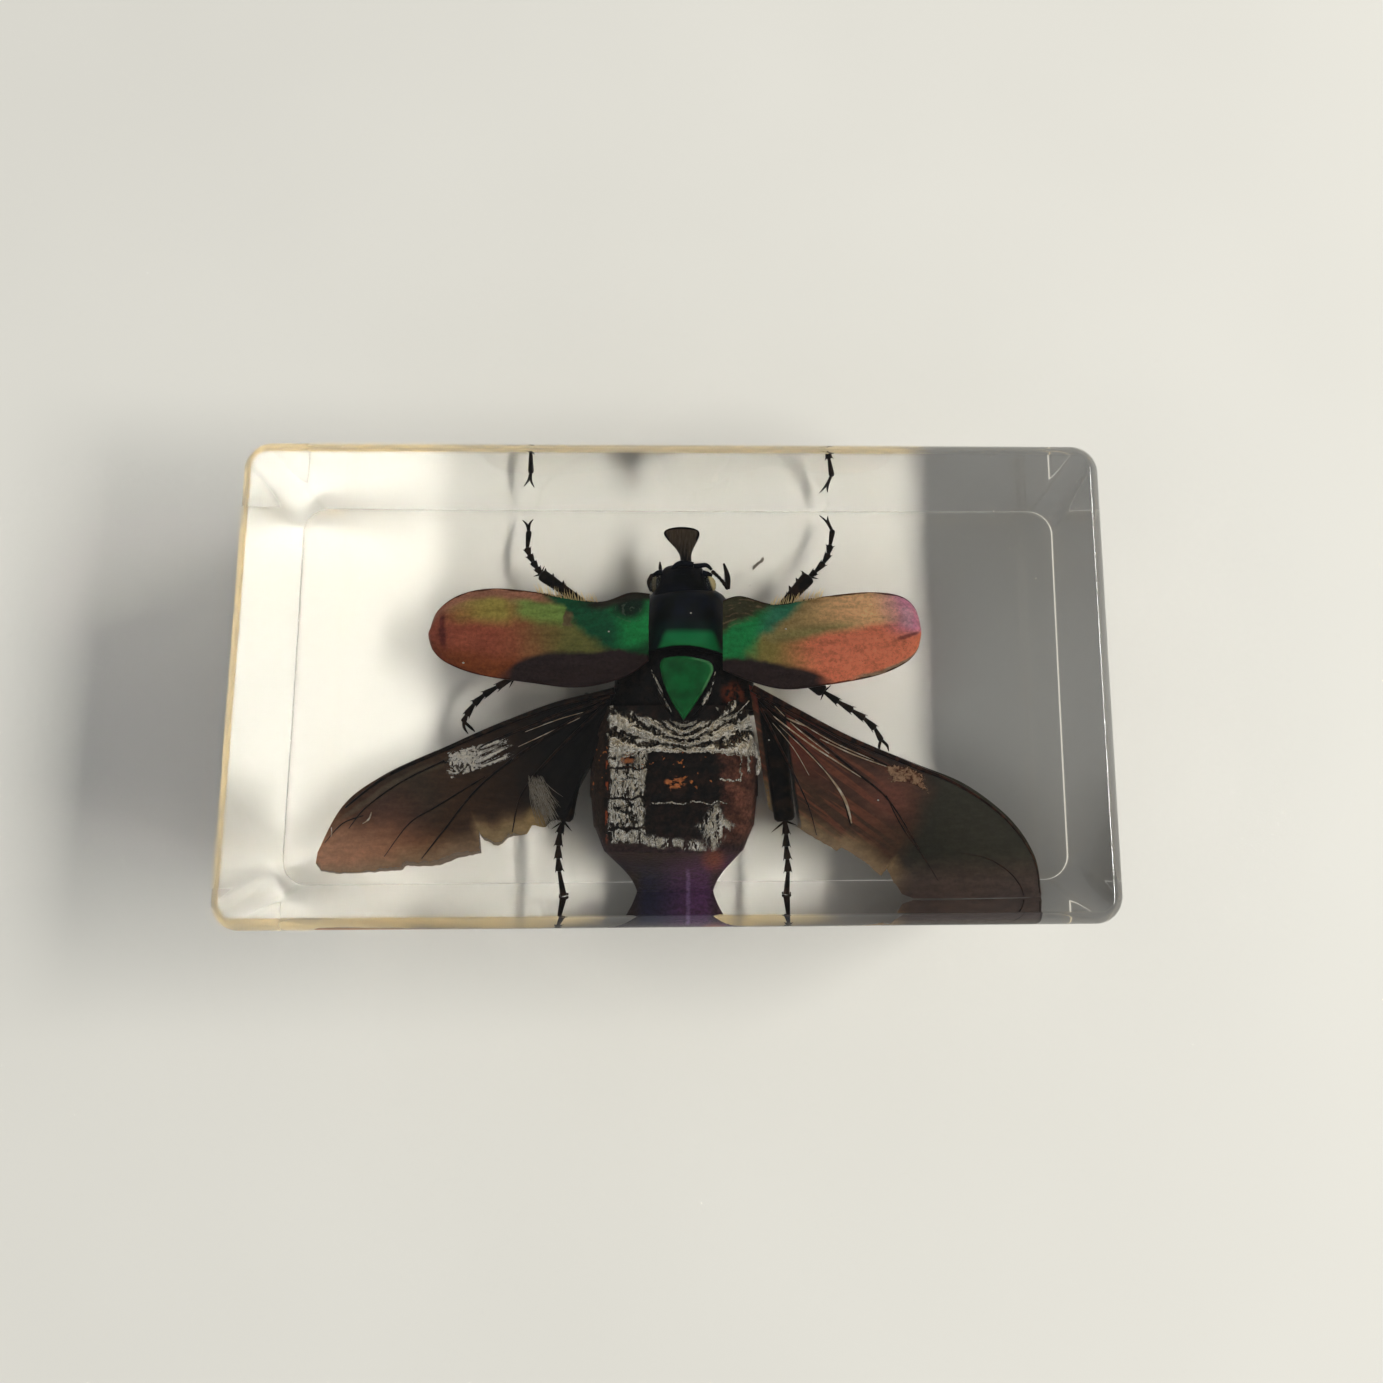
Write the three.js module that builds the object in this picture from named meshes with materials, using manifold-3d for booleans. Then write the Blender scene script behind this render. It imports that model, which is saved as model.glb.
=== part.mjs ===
// A fan-horned flower beetle with its wings spread, cast in a clear resin block.
// Millimetres, +Z up. The origin is the middle of the block's base, +X runs along the block
// and the beetle's head points to +Y.
import * as THREE from "three";
import { mergeVertices } from "three/addons/utils/BufferGeometryUtils.js";
import Module from "manifold-3d";

const wasm = await Module();
wasm.setup();

// ---------------------------------------------------------------- driving dimensions

const BLOCK_LENGTH = 73; // along X, under the top edge's rounding, where it is widest
const BLOCK_DEPTH = 40.2; // along Y, at the same height
const BLOCK_HEIGHT = 20;
const END_DRAFT = 0.4; // how far each end comes in at the base, as the mould leaves it
const SIDE_DRAFT = 2.5; // the same for each long side
const TOP_EDGE_RADIUS = 1.1;
const BASE_EDGE_RADIUS = 0.4;
const CORNER_RADIUS = 2.3; // upright corners
const PARTING_HEIGHT = 9; // where the two layers of resin meet, through the beetle
const POCKET_GAP = 0.35; // clearance of the pocket round the beetle

const WIDEST_HEIGHT = 8; // the beetle's widest line above the base
const HEAD_MIDDLE = 0.35; // the beetle lies with a slight bend, so each piece has its own middle
const PRONOTUM_MIDDLE = 0.7;
const THORAX_MIDDLE = 0.5;
const ABDOMEN_MIDDLE = -0.3;

const ELYTRON_THICKNESS = 0.45;
const ELYTRON_BASE_HEIGHT = 11.2; // rim of the elytra where they leave the body
const ELYTRON_TIP_HEIGHT = 9.4;
const ELYTRON_CROWN = 1.5; // how far the elytra arch over their rim

const WING_THICKNESS = 0.25;
const WING_ROOT_HEIGHT = 9.5;
const WING_TIP_HEIGHT = 8.1;
const WING_REACH = 31; // distance of the wing tips from the middle
const VEIN_RADIUS = 0.22;

const RESIN = { color: 0xf3efdc, roughness: 0.03, metalness: 0, transparent: true, opacity: 0.35 };
const BLACK_CHITIN = { color: 0x15140f, roughness: 0.35, metalness: 0.1 };
const HEAD_CHITIN = { color: 0x0a1c20, roughness: 0.3, metalness: 0.4 };
const GREEN_CHITIN = { color: 0x0c6b36, roughness: 0.28, metalness: 0.5 };
const ELYTRON_CHITIN = { color: 0x8a5a2c, roughness: 0.35, metalness: 0.5 };
const WING_MEMBRANE = { color: 0x4a3220, roughness: 0.4, metalness: 0, side: THREE.DoubleSide };
const ABDOMEN_CHITIN = { color: 0x3a1d14, roughness: 0.35, metalness: 0.2 };

const UP = new THREE.Vector3(0, 0, 1);

// ---------------------------------------------------------------- shape helpers

/** A closed geometry as a manifold-3d solid. */
function solidOf(geometry) {
  const plain = geometry.clone();
  plain.deleteAttribute("normal");
  plain.deleteAttribute("uv");
  const merged = mergeVertices(plain, 1e-4);
  const mesh = new wasm.Mesh({
    numProp: 3,
    vertProperties: merged.attributes.position.array,
    triVerts: new Uint32Array(merged.index.array),
  });
  return new wasm.Manifold(mesh);
}

/** A manifold-3d solid as a geometry. */
function geometryOf(solid) {
  const mesh = solid.getMesh();
  const geometry = new THREE.BufferGeometry();
  geometry.setAttribute("position", new THREE.BufferAttribute(mesh.vertProperties, 3));
  geometry.setIndex(new THREE.BufferAttribute(mesh.triVerts, 1));
  geometry.computeVertexNormals();
  return geometry;
}

/** Several closed geometries as one. */
function joined(geometries) {
  return geometryOf(geometries.map(solidOf).reduce((whole, piece) => whole.add(piece)));
}

/** A geometry from its points and triangles, turned round if its faces point inwards. */
function closedGeometry(points, triangles) {
  let volume = 0;
  for (const [a, b, c] of triangles) {
    volume += points[a].dot(new THREE.Vector3().crossVectors(points[b], points[c]));
  }
  const outward = volume < 0 ? triangles.map(([a, b, c]) => [a, c, b]) : triangles;
  const geometry = new THREE.BufferGeometry().setFromPoints(points);
  geometry.setIndex(outward.flat());
  geometry.computeVertexNormals();
  return geometry;
}

/** Rings of equal length joined in order, closed by a flat fan at both ends. */
function loft(rings) {
  const size = rings[0].length;
  const triangles = [];
  for (let ring = 0; ring + 1 < rings.length; ring++) {
    for (let i = 0; i < size; i++) {
      const next = (i + 1) % size;
      const [a, b] = [ring * size + i, ring * size + next];
      triangles.push([a, b, b + size], [a, b + size, a + size]);
    }
  }
  const last = (rings.length - 1) * size;
  for (let i = 1; i + 1 < size; i++) {
    triangles.push([0, i + 1, i], [last, last + i, last + i + 1]);
  }
  return closedGeometry(rings.flat(), triangles);
}

/** A smooth curve through flat points, given as [x, y]. */
function edge(points) {
  return new THREE.SplineCurve(points.map(([x, y]) => new THREE.Vector2(x, y)));
}

/** Evenly spaced values from 0 to 1. */
function steps(count) {
  return Array.from({ length: count + 1 }, (_, i) => i / count);
}

/** An outline, given as [x, y] points, raised between two heights. */
function prism(outline, low, high) {
  const shape = new THREE.Shape(outline.map(([x, y]) => new THREE.Vector2(x, y)));
  const geometry = new THREE.ExtrudeGeometry(shape, { depth: high - low, bevelEnabled: false });
  return geometry.translate(0, 0, low);
}

/**
 * An oval across the body at y. It is widest at `widest`, and `fullness` under 1 squares it.
 */
function bodyOval(y, oval, sides = 16) {
  const { middle, half, top, bottom, widest = WIDEST_HEIGHT, fullness = 0.85 } = oval;
  return Array.from({ length: sides }, (_, i) => {
    const turn = (2 * Math.PI * i) / sides;
    const [side, rise] = [Math.cos(turn), Math.sin(turn)];
    const reach = rise > 0 ? top - widest : widest - bottom;
    const x = middle + half * Math.sign(side) * Math.abs(side) ** fullness;
    const z = widest + reach * Math.sign(rise) * Math.abs(rise) ** fullness;
    return new THREE.Vector3(x, y, z);
  });
}

/** A piece of the body, from front to rear, by rows of [y, half width, top, bottom]. */
function body(rows, middle, shape) {
  const rings = rows.map(([y, half, top, bottom]) => bodyOval(y, { middle, half, top, bottom, ...shape }));
  return loft(rings);
}

/** The room that a piece of the body needs: it is `margin` wider all round. */
function roomForBody(rows, middle, margin, shape) {
  const last = rows.length - 1;
  const rings = rows.map(([y, half, top, bottom], i) => {
    const end = i === 0 ? POCKET_GAP : i === last ? -POCKET_GAP : 0;
    const oval = { middle, half: half + margin, top: top + margin, bottom: bottom - margin, ...shape };
    return bodyOval(y + end, oval, 12);
  });
  return loft(rings);
}

/**
 * A tapering limb through points given as [x, y, z, radius]. `flat` thins it from above, and
 * `turned` lays a side, and not a corner, to its top.
 */
function limb(points, { sides = 6, flat = 1, turned = false } = {}) {
  const places = points.map(([x, y, z]) => new THREE.Vector3(x, y, z));
  const rings = places.map((place, i) => {
    const before = places[Math.max(i - 1, 0)];
    const after = places[Math.min(i + 1, places.length - 1)];
    const along = after.clone().sub(before).normalize();
    const across = new THREE.Vector3().crossVectors(UP, along).normalize();
    const over = new THREE.Vector3().crossVectors(along, across);
    const radius = points[i][3];
    return Array.from({ length: sides }, (_, k) => {
      const turn = (2 * Math.PI * (turned ? k + 0.5 : k)) / sides;
      return place
        .clone()
        .addScaledVector(across, radius * Math.cos(turn))
        .addScaledVector(over, radius * flat * Math.sin(turn));
    });
  });
  return loft(rings);
}

/** The room that a limb needs: a plain limb, longer by the pocket's gap at its far end. */
function roomForLimb(points) {
  const [neighbour, end] = points.slice(-2);
  const from = new THREE.Vector3(...neighbour);
  const to = new THREE.Vector3(...end);
  to.add(to.clone().sub(from).setLength(POCKET_GAP));
  return limb([...points.slice(0, -1), [...to.toArray(), end[3]]], { sides: 4, turned: true });
}

/** A thin sheet between a front edge and a rear edge, both lists of [x, y] of equal length. */
function sheet(front, rear, thickness, heightAt, across) {
  const top = [];
  front.forEach(([x, y], i) => {
    for (const v of steps(across)) {
      const sheetX = x + (rear[i][0] - x) * v;
      const sheetY = y + (rear[i][1] - y) * v;
      const along = i / (front.length - 1);
      top.push(new THREE.Vector3(sheetX, sheetY, heightAt(sheetX, along, v)));
    }
  });
  const under = top.map((point) => point.clone().addScaledVector(UP, -thickness));
  const row = across + 1;
  const count = top.length;
  const triangles = [];
  const quad = (a, b, c, d) => triangles.push([a, b, c], [a, c, d]);
  for (let i = 0; i + 1 < front.length; i++) {
    for (let j = 0; j < across; j++) {
      const a = i * row + j;
      quad(a, a + 1, a + row + 1, a + row);
      quad(count + a, count + a + row, count + a + row + 1, count + a + 1);
    }
    const rim = i * row;
    quad(rim, rim + row, count + rim + row, count + rim);
    quad(rim + across, count + rim + across, count + rim + row + across, rim + row + across);
  }
  for (let j = 0; j < across; j++) {
    const end = count - row + j;
    quad(j, count + j, count + j + 1, j + 1);
    quad(end, end + 1, count + end + 1, count + end);
  }
  return closedGeometry([...top, ...under], triangles);
}

function mesh(name, geometry, finish) {
  const made = new THREE.Mesh(geometry, new THREE.MeshStandardMaterial(finish));
  made.name = name;
  return made;
}

// ---------------------------------------------------------------- head, with its horn and eyes

const CLYPEUS_FRONT = 10.9;
const HORN_LENGTH = 3.7;
const HORN_STALK_HALF = 0.5;
const HORN_FAN_HALF = 1.6;
const HORN_THICKNESS = 0.7;
const HORN_RISE = 0.22; // radians above level
const HORN_SIDEWAYS = 0.15; // the horn stands a little to the right
const HORN_ROOT_DEPTH = 0.4; // how deep its stalk is set in the head
const EYE_RADIUS = 0.8;
const EYE_FROM_MIDDLE = 2.2;
const EYE_Y = 9.2;
const HEAD_ROWS = [
  [CLYPEUS_FRONT, 1.9, 9.0, 7.0],
  [10.3, 2.3, 9.6, 6.2],
  [9.4, 2.7, 10.3, 5.3],
  [8.4, 2.6, 10.6, 5.0],
];

/** A slim stalk that opens into a fan with a gently curved front. */
function horn() {
  const fan = new THREE.Shape();
  const [stalkEnd, flare, corner, crown] = [0.42, 0.68, 0.84, 1.16].map((share) => share * HORN_LENGTH);
  const neck = HORN_STALK_HALF * 1.3;
  fan.moveTo(-HORN_STALK_HALF, 0);
  fan.lineTo(-HORN_STALK_HALF, stalkEnd);
  fan.quadraticCurveTo(-neck, flare, -HORN_FAN_HALF, corner);
  fan.quadraticCurveTo(0, crown, HORN_FAN_HALF, corner);
  fan.quadraticCurveTo(neck, flare, HORN_STALK_HALF, stalkEnd);
  fan.lineTo(HORN_STALK_HALF, 0);
  const made = new THREE.ExtrudeGeometry(fan, {
    depth: HORN_THICKNESS,
    bevelEnabled: false,
    curveSegments: 5,
  });
  made.rotateX(HORN_RISE);
  const foot = [HEAD_MIDDLE + HORN_SIDEWAYS, CLYPEUS_FRONT - HORN_ROOT_DEPTH, WIDEST_HEIGHT + 0.4];
  return made.translate(...foot);
}

/** An eye on one side of the head: -1 is the left and 1 the right. */
function eye(side) {
  const made = new THREE.SphereGeometry(EYE_RADIUS, 10, 7);
  return made.translate(HEAD_MIDDLE + side * EYE_FROM_MIDDLE, EYE_Y, WIDEST_HEIGHT + 0.3);
}

function head() {
  return joined([body(HEAD_ROWS, HEAD_MIDDLE), horn(), eye(-1), eye(1)]);
}

// ---------------------------------------------------------------- antennae

/** Each antenna is an elbowed stalk with a leaf-like club. */
const ANTENNA_LEFT = {
  stalk: [[-2.0, 10.6, 7.9, 0.16], [-2.7, 9.9, 8.2, 0.16], [-3.0, 9.0, 8.6, 0.2]],
  club: [[-3.0, 9.0, 8.6, 0.18], [-2.9, 8.6, 8.8, 0.3], [-2.7, 8.3, 9.0, 0.12]],
};
const ANTENNA_RIGHT = {
  stalk: [[3.0, 10.5, 7.9, 0.16], [3.7, 9.8, 8.4, 0.16], [4.4, 8.9, 8.8, 0.2]],
  club: [[4.4, 8.9, 8.8, 0.15], [4.35, 9.9, 8.9, 0.26], [4.05, 11.1, 9.0, 0.1]],
};

function antenna({ stalk, club }) {
  return joined([limb(stalk), limb(club, { flat: 1.8 })]);
}

// ---------------------------------------------------------------- thorax and abdomen

const PRONOTUM_FRONT = 8.0;
const PRONOTUM_REAR = 3.2;
const PRONOTUM_ROWS = [
  [PRONOTUM_FRONT, 3.2, 10.9, 5.0],
  [7.2, 3.8, 11.5, 4.4],
  [5.6, 4.3, 12.0, 4.1],
  [4.2, 4.5, 12.0, 4.1],
  [PRONOTUM_REAR, 4.4, 11.7, 4.4],
];
const PRONOTUM_SHAPE = { widest: 7.4, fullness: 1 };

const THORAX_ROWS = [
  [2.8, 5.2, 10.3, 4.6],
  [1.6, 6.0, 10.6, 4.2],
  [-0.4, 6.3, 10.7, 4.1],
  [-1.6, 6.4, 10.5, 4.2],
];
const THORAX_SHAPE = { fullness: 1 };

/** The scutellum's rounded shoulders and its point towards the rear. */
const SCUTELLUM_OUTLINE = [
  [-1.2, 2.2], [0.7, 2.5], [2.8, 1.9], [3.2, 1.2], [2.6, -0.2],
  [1.6, -1.9], [0.6, -3.3], [-0.4, -1.8], [-1.1, -0.1], [-1.5, 1.4],
];
const SCUTELLUM_CENTRE = [0.8, 0.4];

function scutellum() {
  const ringAt = (height, scale) =>
    SCUTELLUM_OUTLINE.map(([x, y]) => {
      const [middleX, middleY] = SCUTELLUM_CENTRE;
      return new THREE.Vector3(middleX + (x - middleX) * scale, middleY + (y - middleY) * scale, height);
    });
  return loft([ringAt(11.1, 0.94), ringAt(11.6, 1), ringAt(12.0, 0.9), ringAt(12.25, 0.55)]);
}

/** Each plate of the abdomen: its front edge, half width there, and height of its back. */
const ABDOMEN_PLATES = [
  [-1.9, 6.4, 10.9],
  [-4.6, 7.0, 11.2],
  [-7.2, 7.4, 11.4],
  [-9.9, 7.3, 11.3],
  [-12.5, 6.9, 11.1],
  [-14.6, 5.9, 10.8],
];
const ABDOMEN_BELLY = 4.5;
const PLATE_STEP = 0.25; // each plate's rear rim stands over the next plate
const PYGIDIUM_ROWS = [
  [-16.2, 4.7, 10.3, 5.2],
  [-17.2, 3.7, 9.8, 6.0],
  [-17.9, 3.1, 9.2, 6.9],
];

function abdomenRows() {
  const rows = [];
  ABDOMEN_PLATES.forEach(([y, half, top], i) => {
    const belly = ABDOMEN_BELLY + (i === ABDOMEN_PLATES.length - 1 ? 0.3 : 0);
    if (i > 0) {
      rows.push([y + 0.15, half + PLATE_STEP, top + PLATE_STEP, belly - 0.1]);
    }
    rows.push([y, half, top, belly]);
  });
  return [...rows, ...PYGIDIUM_ROWS];
}

// ---------------------------------------------------------------- elytra

const ELYTRON_LEFT = {
  front: [
    [-2.9, 8.0], [-4.3, 8.1], [-6.9, 7.3], [-10.4, 7.9],
    [-16.0, 8.6], [-19.3, 8.1], [-21.3, 6.7], [-22.0, 5.0],
  ],
  rear: [
    [-2.9, 2.0], [-4.6, 0.6], [-8.6, -0.3], [-13.3, 0.2],
    [-17.6, 0.9], [-20.3, 1.9], [-21.6, 3.0], [-22.1, 4.2],
  ],
};
const ELYTRON_RIGHT = {
  front: [
    [4.3, 7.4], [5.6, 7.8], [8.6, 7.1], [12.0, 7.7],
    [17.0, 8.3], [19.9, 8.0], [21.3, 6.9], [21.8, 5.2],
  ],
  rear: [
    [4.3, 1.2], [6.4, 0.2], [9.6, -0.5], [13.8, 0.0],
    [17.8, 0.8], [20.3, 1.9], [21.4, 3.0], [21.8, 4.3],
  ],
};
const ELYTRON_STEPS = 12;
const ELYTRON_ACROSS = 6;

function sampled(points, count) {
  return edge(points).getSpacedPoints(count).map((point) => point.toArray());
}

/** Rim falls from the body to the tip, and the shell arches between its two edges. */
function elytronHeight(_x, along, across) {
  const rim = THREE.MathUtils.lerp(ELYTRON_BASE_HEIGHT, ELYTRON_TIP_HEIGHT, along);
  const towardsTip = Math.sqrt(1 - 0.9 * along ** 5);
  return rim + ELYTRON_CROWN * Math.sin(Math.PI * across) ** 0.8 * towardsTip;
}

function elytron({ front, rear }) {
  const frontEdge = sampled(front, ELYTRON_STEPS);
  const rearEdge = sampled(rear, ELYTRON_STEPS);
  return sheet(frontEdge, rearEdge, ELYTRON_THICKNESS, elytronHeight, ELYTRON_ACROSS);
}

// ---------------------------------------------------------------- hindwings

/** Smooth leading edges, and trailing edges with the tears of the real wings. */
const WING_LEFT = {
  lead: [
    [-5.4, -0.3], [-10.4, -1.5], [-15.7, -3.4], [-20.7, -5.5], [-25.6, -7.8], [-29.0, -10.4],
    [-31.0, -14.4],
  ],
  trail: [
    [-6.6, -2.2], [-8.6, -6.0], [-10.2, -11.4], [-12.4, -12.6], [-15.4, -14.1], [-16.4, -13.8],
    [-17.1, -12.9], [-17.0, -14.7], [-19.4, -15.6], [-23.2, -15.5], [-24.0, -16.2], [-27.0, -16.3],
    [-29.4, -16.4], [-31.0, -15.7],
  ],
  veins: [
    [[-6.0, -0.9], [-11.0, -2.3], [-17.0, -4.7], [-23.5, -7.6], [-28.0, -11.0]],
    [[-6.4, -1.2], [-12.0, -4.2], [-18.0, -7.6], [-24.0, -11.4]],
    [[-6.6, -1.4], [-11.5, -6.0], [-16.0, -10.0], [-20.4, -14.6]],
    [[-6.8, -1.9], [-9.8, -6.0], [-12.2, -11.5]],
  ],
};
const WING_RIGHT = {
  lead: [
    [6.3, 0.0], [9.9, -1.9], [14.9, -4.4], [20.8, -6.9], [25.2, -8.7], [29.2, -11.8],
    [31.4, -15.4],
  ],
  trail: [
    [6.6, -1.8], [7.4, -6.4], [8.2, -10.8], [10.1, -12.5], [13.8, -14.2], [14.6, -14.9],
    [15.4, -14.4], [16.6, -15.7], [18.6, -17.0], [21.0, -17.6], [24.0, -17.7], [27.0, -17.7],
    [29.8, -17.6], [31.6, -16.8],
  ],
  veins: [
    [[6.9, -0.8], [12.0, -3.7], [18.0, -6.5], [24.0, -8.9], [28.6, -12.4]],
    [[7.2, -1.4], [12.0, -5.0], [17.5, -8.6], [22.0, -11.0]],
    [[7.2, -1.8], [11.2, -6.2], [15.0, -10.6], [17.6, -15.4]],
    [[7.2, -2.2], [9.6, -6.6], [12.0, -12.6]],
  ],
};
const WING_ACROSS = 2;

/** The wings slope gently down from the body to their tips, with a low wave along them. */
function wingHeight(x) {
  const along = Math.abs(x) / WING_REACH;
  const slope = THREE.MathUtils.lerp(WING_ROOT_HEIGHT, WING_TIP_HEIGHT, along);
  return slope + 0.15 * Math.sin(3 * Math.PI * along);
}

function vein(points) {
  const through = points.map(([x, y], i) => {
    const taper = 1 - (0.5 * i) / (points.length - 1);
    return [x, y, wingHeight(x) - WING_THICKNESS / 2, VEIN_RADIUS * taper];
  });
  return limb(through, { sides: 4 });
}

function hindwing({ lead, trail, veins }) {
  const leading = sampled(lead, trail.length - 1);
  const membrane = sheet(leading, trail, WING_THICKNESS, wingHeight, WING_ACROSS);
  return joined([membrane, ...veins.map(vein)]);
}

// ---------------------------------------------------------------- legs

/**
 * Each leg runs from the coxa under the body to the knee and the ankle, and then along the
 * joints of the foot to the tips of two claws. Spurs stand at the ankle.
 */
const LEGS = {
  leg_front_left: {
    coxa: [-1.4, 5.8, 3.2], knee: [-8.6, 7.6, 6.1], ankle: [-12.9, 10.6, 5.2], tibia: 0.55,
    foot: [
      [-13.4, 11.2, 5.0], [-13.9, 12.0, 4.6], [-14.3, 12.8, 4.2],
      [-14.4, 13.6, 3.8], [-14.4, 14.9, 3.2],
    ],
    claws: [[-15.1, 16.2, 2.6], [-14.1, 16.3, 2.6]],
    spurs: [[-13.6, 10.4, 5.2], [-12.6, 11.4, 5.2]],
  },
  leg_front_right: {
    coxa: [2.8, 5.8, 3.2], knee: [9.2, 7.2, 6.1], ankle: [12.0, 10.4, 5.2], tibia: 0.65,
    foot: [
      [12.6, 10.9, 5.0], [13.4, 11.8, 4.6], [13.9, 12.7, 4.2],
      [14.1, 13.6, 3.8], [14.4, 15.2, 3.2],
    ],
    claws: [[13.2, 16.8, 2.6], [14.0, 16.7, 2.6]],
    spurs: [[11.2, 11.0, 5.2], [12.9, 10.2, 5.2]],
  },
  leg_middle_left: {
    coxa: [-2.6, 1.2, 3.2], knee: [-9.0, 3.4, 6.2], ankle: [-14.9, 1.0, 6.0], tibia: 0.55,
    foot: [
      [-16.5, 0.1, 5.7], [-17.7, -0.6, 5.4], [-18.6, -1.4, 5.1],
      [-19.3, -2.4, 4.8], [-19.6, -3.0, 4.6],
    ],
    claws: [[-19.2, -4.1, 4.2], [-18.6, -3.9, 4.2]],
    spurs: [[-15.8, 1.2, 5.8], [-15.4, 0.0, 5.8]],
  },
  leg_middle_right: {
    coxa: [3.7, 1.0, 3.2], knee: [8.2, 3.2, 6.2], ankle: [13.2, -0.4, 5.8], tibia: 0.6,
    foot: [
      [14.5, -1.3, 5.6], [15.8, -2.1, 5.4], [16.9, -2.8, 5.1],
      [17.9, -3.7, 4.8], [18.5, -4.8, 4.5],
    ],
    claws: [[18.4, -5.7, 4.1], [19.2, -5.8, 4.1]],
    spurs: [[13.9, 0.2, 5.7], [12.9, -1.2, 5.7]],
  },
  leg_hind_left: {
    coxa: [-3.2, -1.8, 3.2], knee: [-8.8, -1.0, 6.2], ankle: [-10.5, -12.0, 6.4], tibia: 0.9,
    foot: [
      [-10.5, -13.0, 6.4], [-10.6, -14.2, 6.4], [-10.5, -15.4, 6.4],
      [-10.4, -16.4, 6.4], [-10.0, -17.3, 6.4],
    ],
    claws: [[-10.5, -17.7, 6.2], [-9.7, -17.7, 6.2]],
    spurs: [[-11.2, -12.6, 6.4], [-9.4, -12.8, 6.4]],
  },
  leg_hind_right: {
    coxa: [3.8, -1.8, 3.2], knee: [8.4, -2.2, 6.2], ankle: [9.7, -12.2, 6.4], tibia: 0.9,
    foot: [
      [9.7, -13.2, 6.4], [9.7, -14.4, 6.4], [9.8, -15.5, 6.4],
      [9.8, -16.5, 6.4], [9.6, -17.3, 6.4],
    ],
    claws: [[9.1, -17.7, 6.2], [10.0, -17.7, 6.2]],
    spurs: [[8.3, -13.0, 6.4], [10.6, -12.4, 6.4]],
  },
};
const FEMUR_RADIUS = 0.75;
const TARSUS_NARROW = 0.16;
const TARSUS_WIDE = 0.32;
const CLAW_ROOT = 0.14;
const CLAW_TIP = 0.04;
const CLAW_BEND = 0.12; // how far a claw arches over the straight line to its tip
const SPUR_ROOT = 0.16;

/** The point a share of the way between two others. */
function between(from, to, share) {
  return from.map((value, i) => value + (to[i] - value) * share);
}

function leg({ coxa, knee, ankle, tibia, foot, claws, spurs }) {
  const femur = limb([
    [...coxa, FEMUR_RADIUS * 0.8],
    [...between(coxa, knee, 0.5), FEMUR_RADIUS],
    [...knee, FEMUR_RADIUS * 0.6],
  ], { flat: 0.7 });
  const shin = limb([
    [...between(knee, coxa, 0.04), tibia * 0.5],
    [...between(knee, ankle, 0.15), tibia * 0.75],
    [...between(knee, ankle, 0.8), tibia],
    [...ankle, tibia * 0.7],
  ], { flat: 0.7 });
  const tarsus = limb(
    foot.flatMap((end, i) => {
      const start = i === 0 ? ankle : foot[i - 1];
      const wide = i === foot.length - 1 ? TARSUS_NARROW * 1.2 : TARSUS_WIDE;
      return [
        [...between(start, end, 0.05), TARSUS_NARROW],
        [...between(start, end, 0.9), wide],
      ];
    }),
    { sides: 5 },
  );
  const toe = foot[foot.length - 1];
  const claw = claws.map((tip) => {
    const bend = between(toe, tip, 0.55);
    bend[2] += CLAW_BEND;
    return limb([
      [...between(toe, tip, -0.1), CLAW_ROOT],
      [...bend, CLAW_ROOT * 0.8],
      [...tip, CLAW_TIP],
    ], { sides: 4 });
  });
  const spur = spurs.map((tip) =>
    limb([
      [...between(ankle, tip, -0.1), SPUR_ROOT],
      [...tip, CLAW_TIP],
    ], { sides: 4 }),
  );
  return joined([femur, shin, tarsus, ...claw, ...spur]);
}

/** The half-width of the room along a leg. */
const LEG_ROOM = { body: 1.6, knee: 1.8, ankle: 2.2, foot: 0.9, claws: 1.2 };

function roomForLeg({ coxa, knee, ankle, foot, claws }) {
  const pastAnkle = between(ankle, foot[0], 0.9);
  return roomForLimb([
    [...coxa, LEG_ROOM.body],
    [...knee, LEG_ROOM.knee],
    [...between(knee, ankle, 0.8), LEG_ROOM.knee],
    [...between(knee, ankle, 0.95), LEG_ROOM.ankle],
    [...pastAnkle, LEG_ROOM.ankle],
    [...foot[2], LEG_ROOM.foot],
    [...foot[4], LEG_ROOM.foot],
    [...between(claws[0], claws[1], 0.5), LEG_ROOM.claws],
  ]);
}

// ---------------------------------------------------------------- resin block

const CORNER_STEPS = 5;
const EDGE_STEPS = 3;

/** A level rounded rectangle: the block's outline at a height, pulled in by `inset`. */
function blockRing(height, inset) {
  const fall = Math.max(0, 1 - height / (BLOCK_HEIGHT - TOP_EDGE_RADIUS));
  const halfX = BLOCK_LENGTH / 2 - END_DRAFT * fall - inset;
  const halfY = BLOCK_DEPTH / 2 - SIDE_DRAFT * fall - inset;
  const radius = CORNER_RADIUS - inset;
  const ring = [];
  for (let corner = 0; corner < 4; corner++) {
    const centreX = (corner === 0 || corner === 3 ? 1 : -1) * (halfX - radius);
    const centreY = (corner < 2 ? 1 : -1) * (halfY - radius);
    for (const share of steps(CORNER_STEPS)) {
      const turn = ((corner + share) * Math.PI) / 2;
      const x = centreX + radius * Math.cos(turn);
      ring.push(new THREE.Vector3(x, centreY + radius * Math.sin(turn), height));
    }
  }
  return ring;
}

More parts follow.
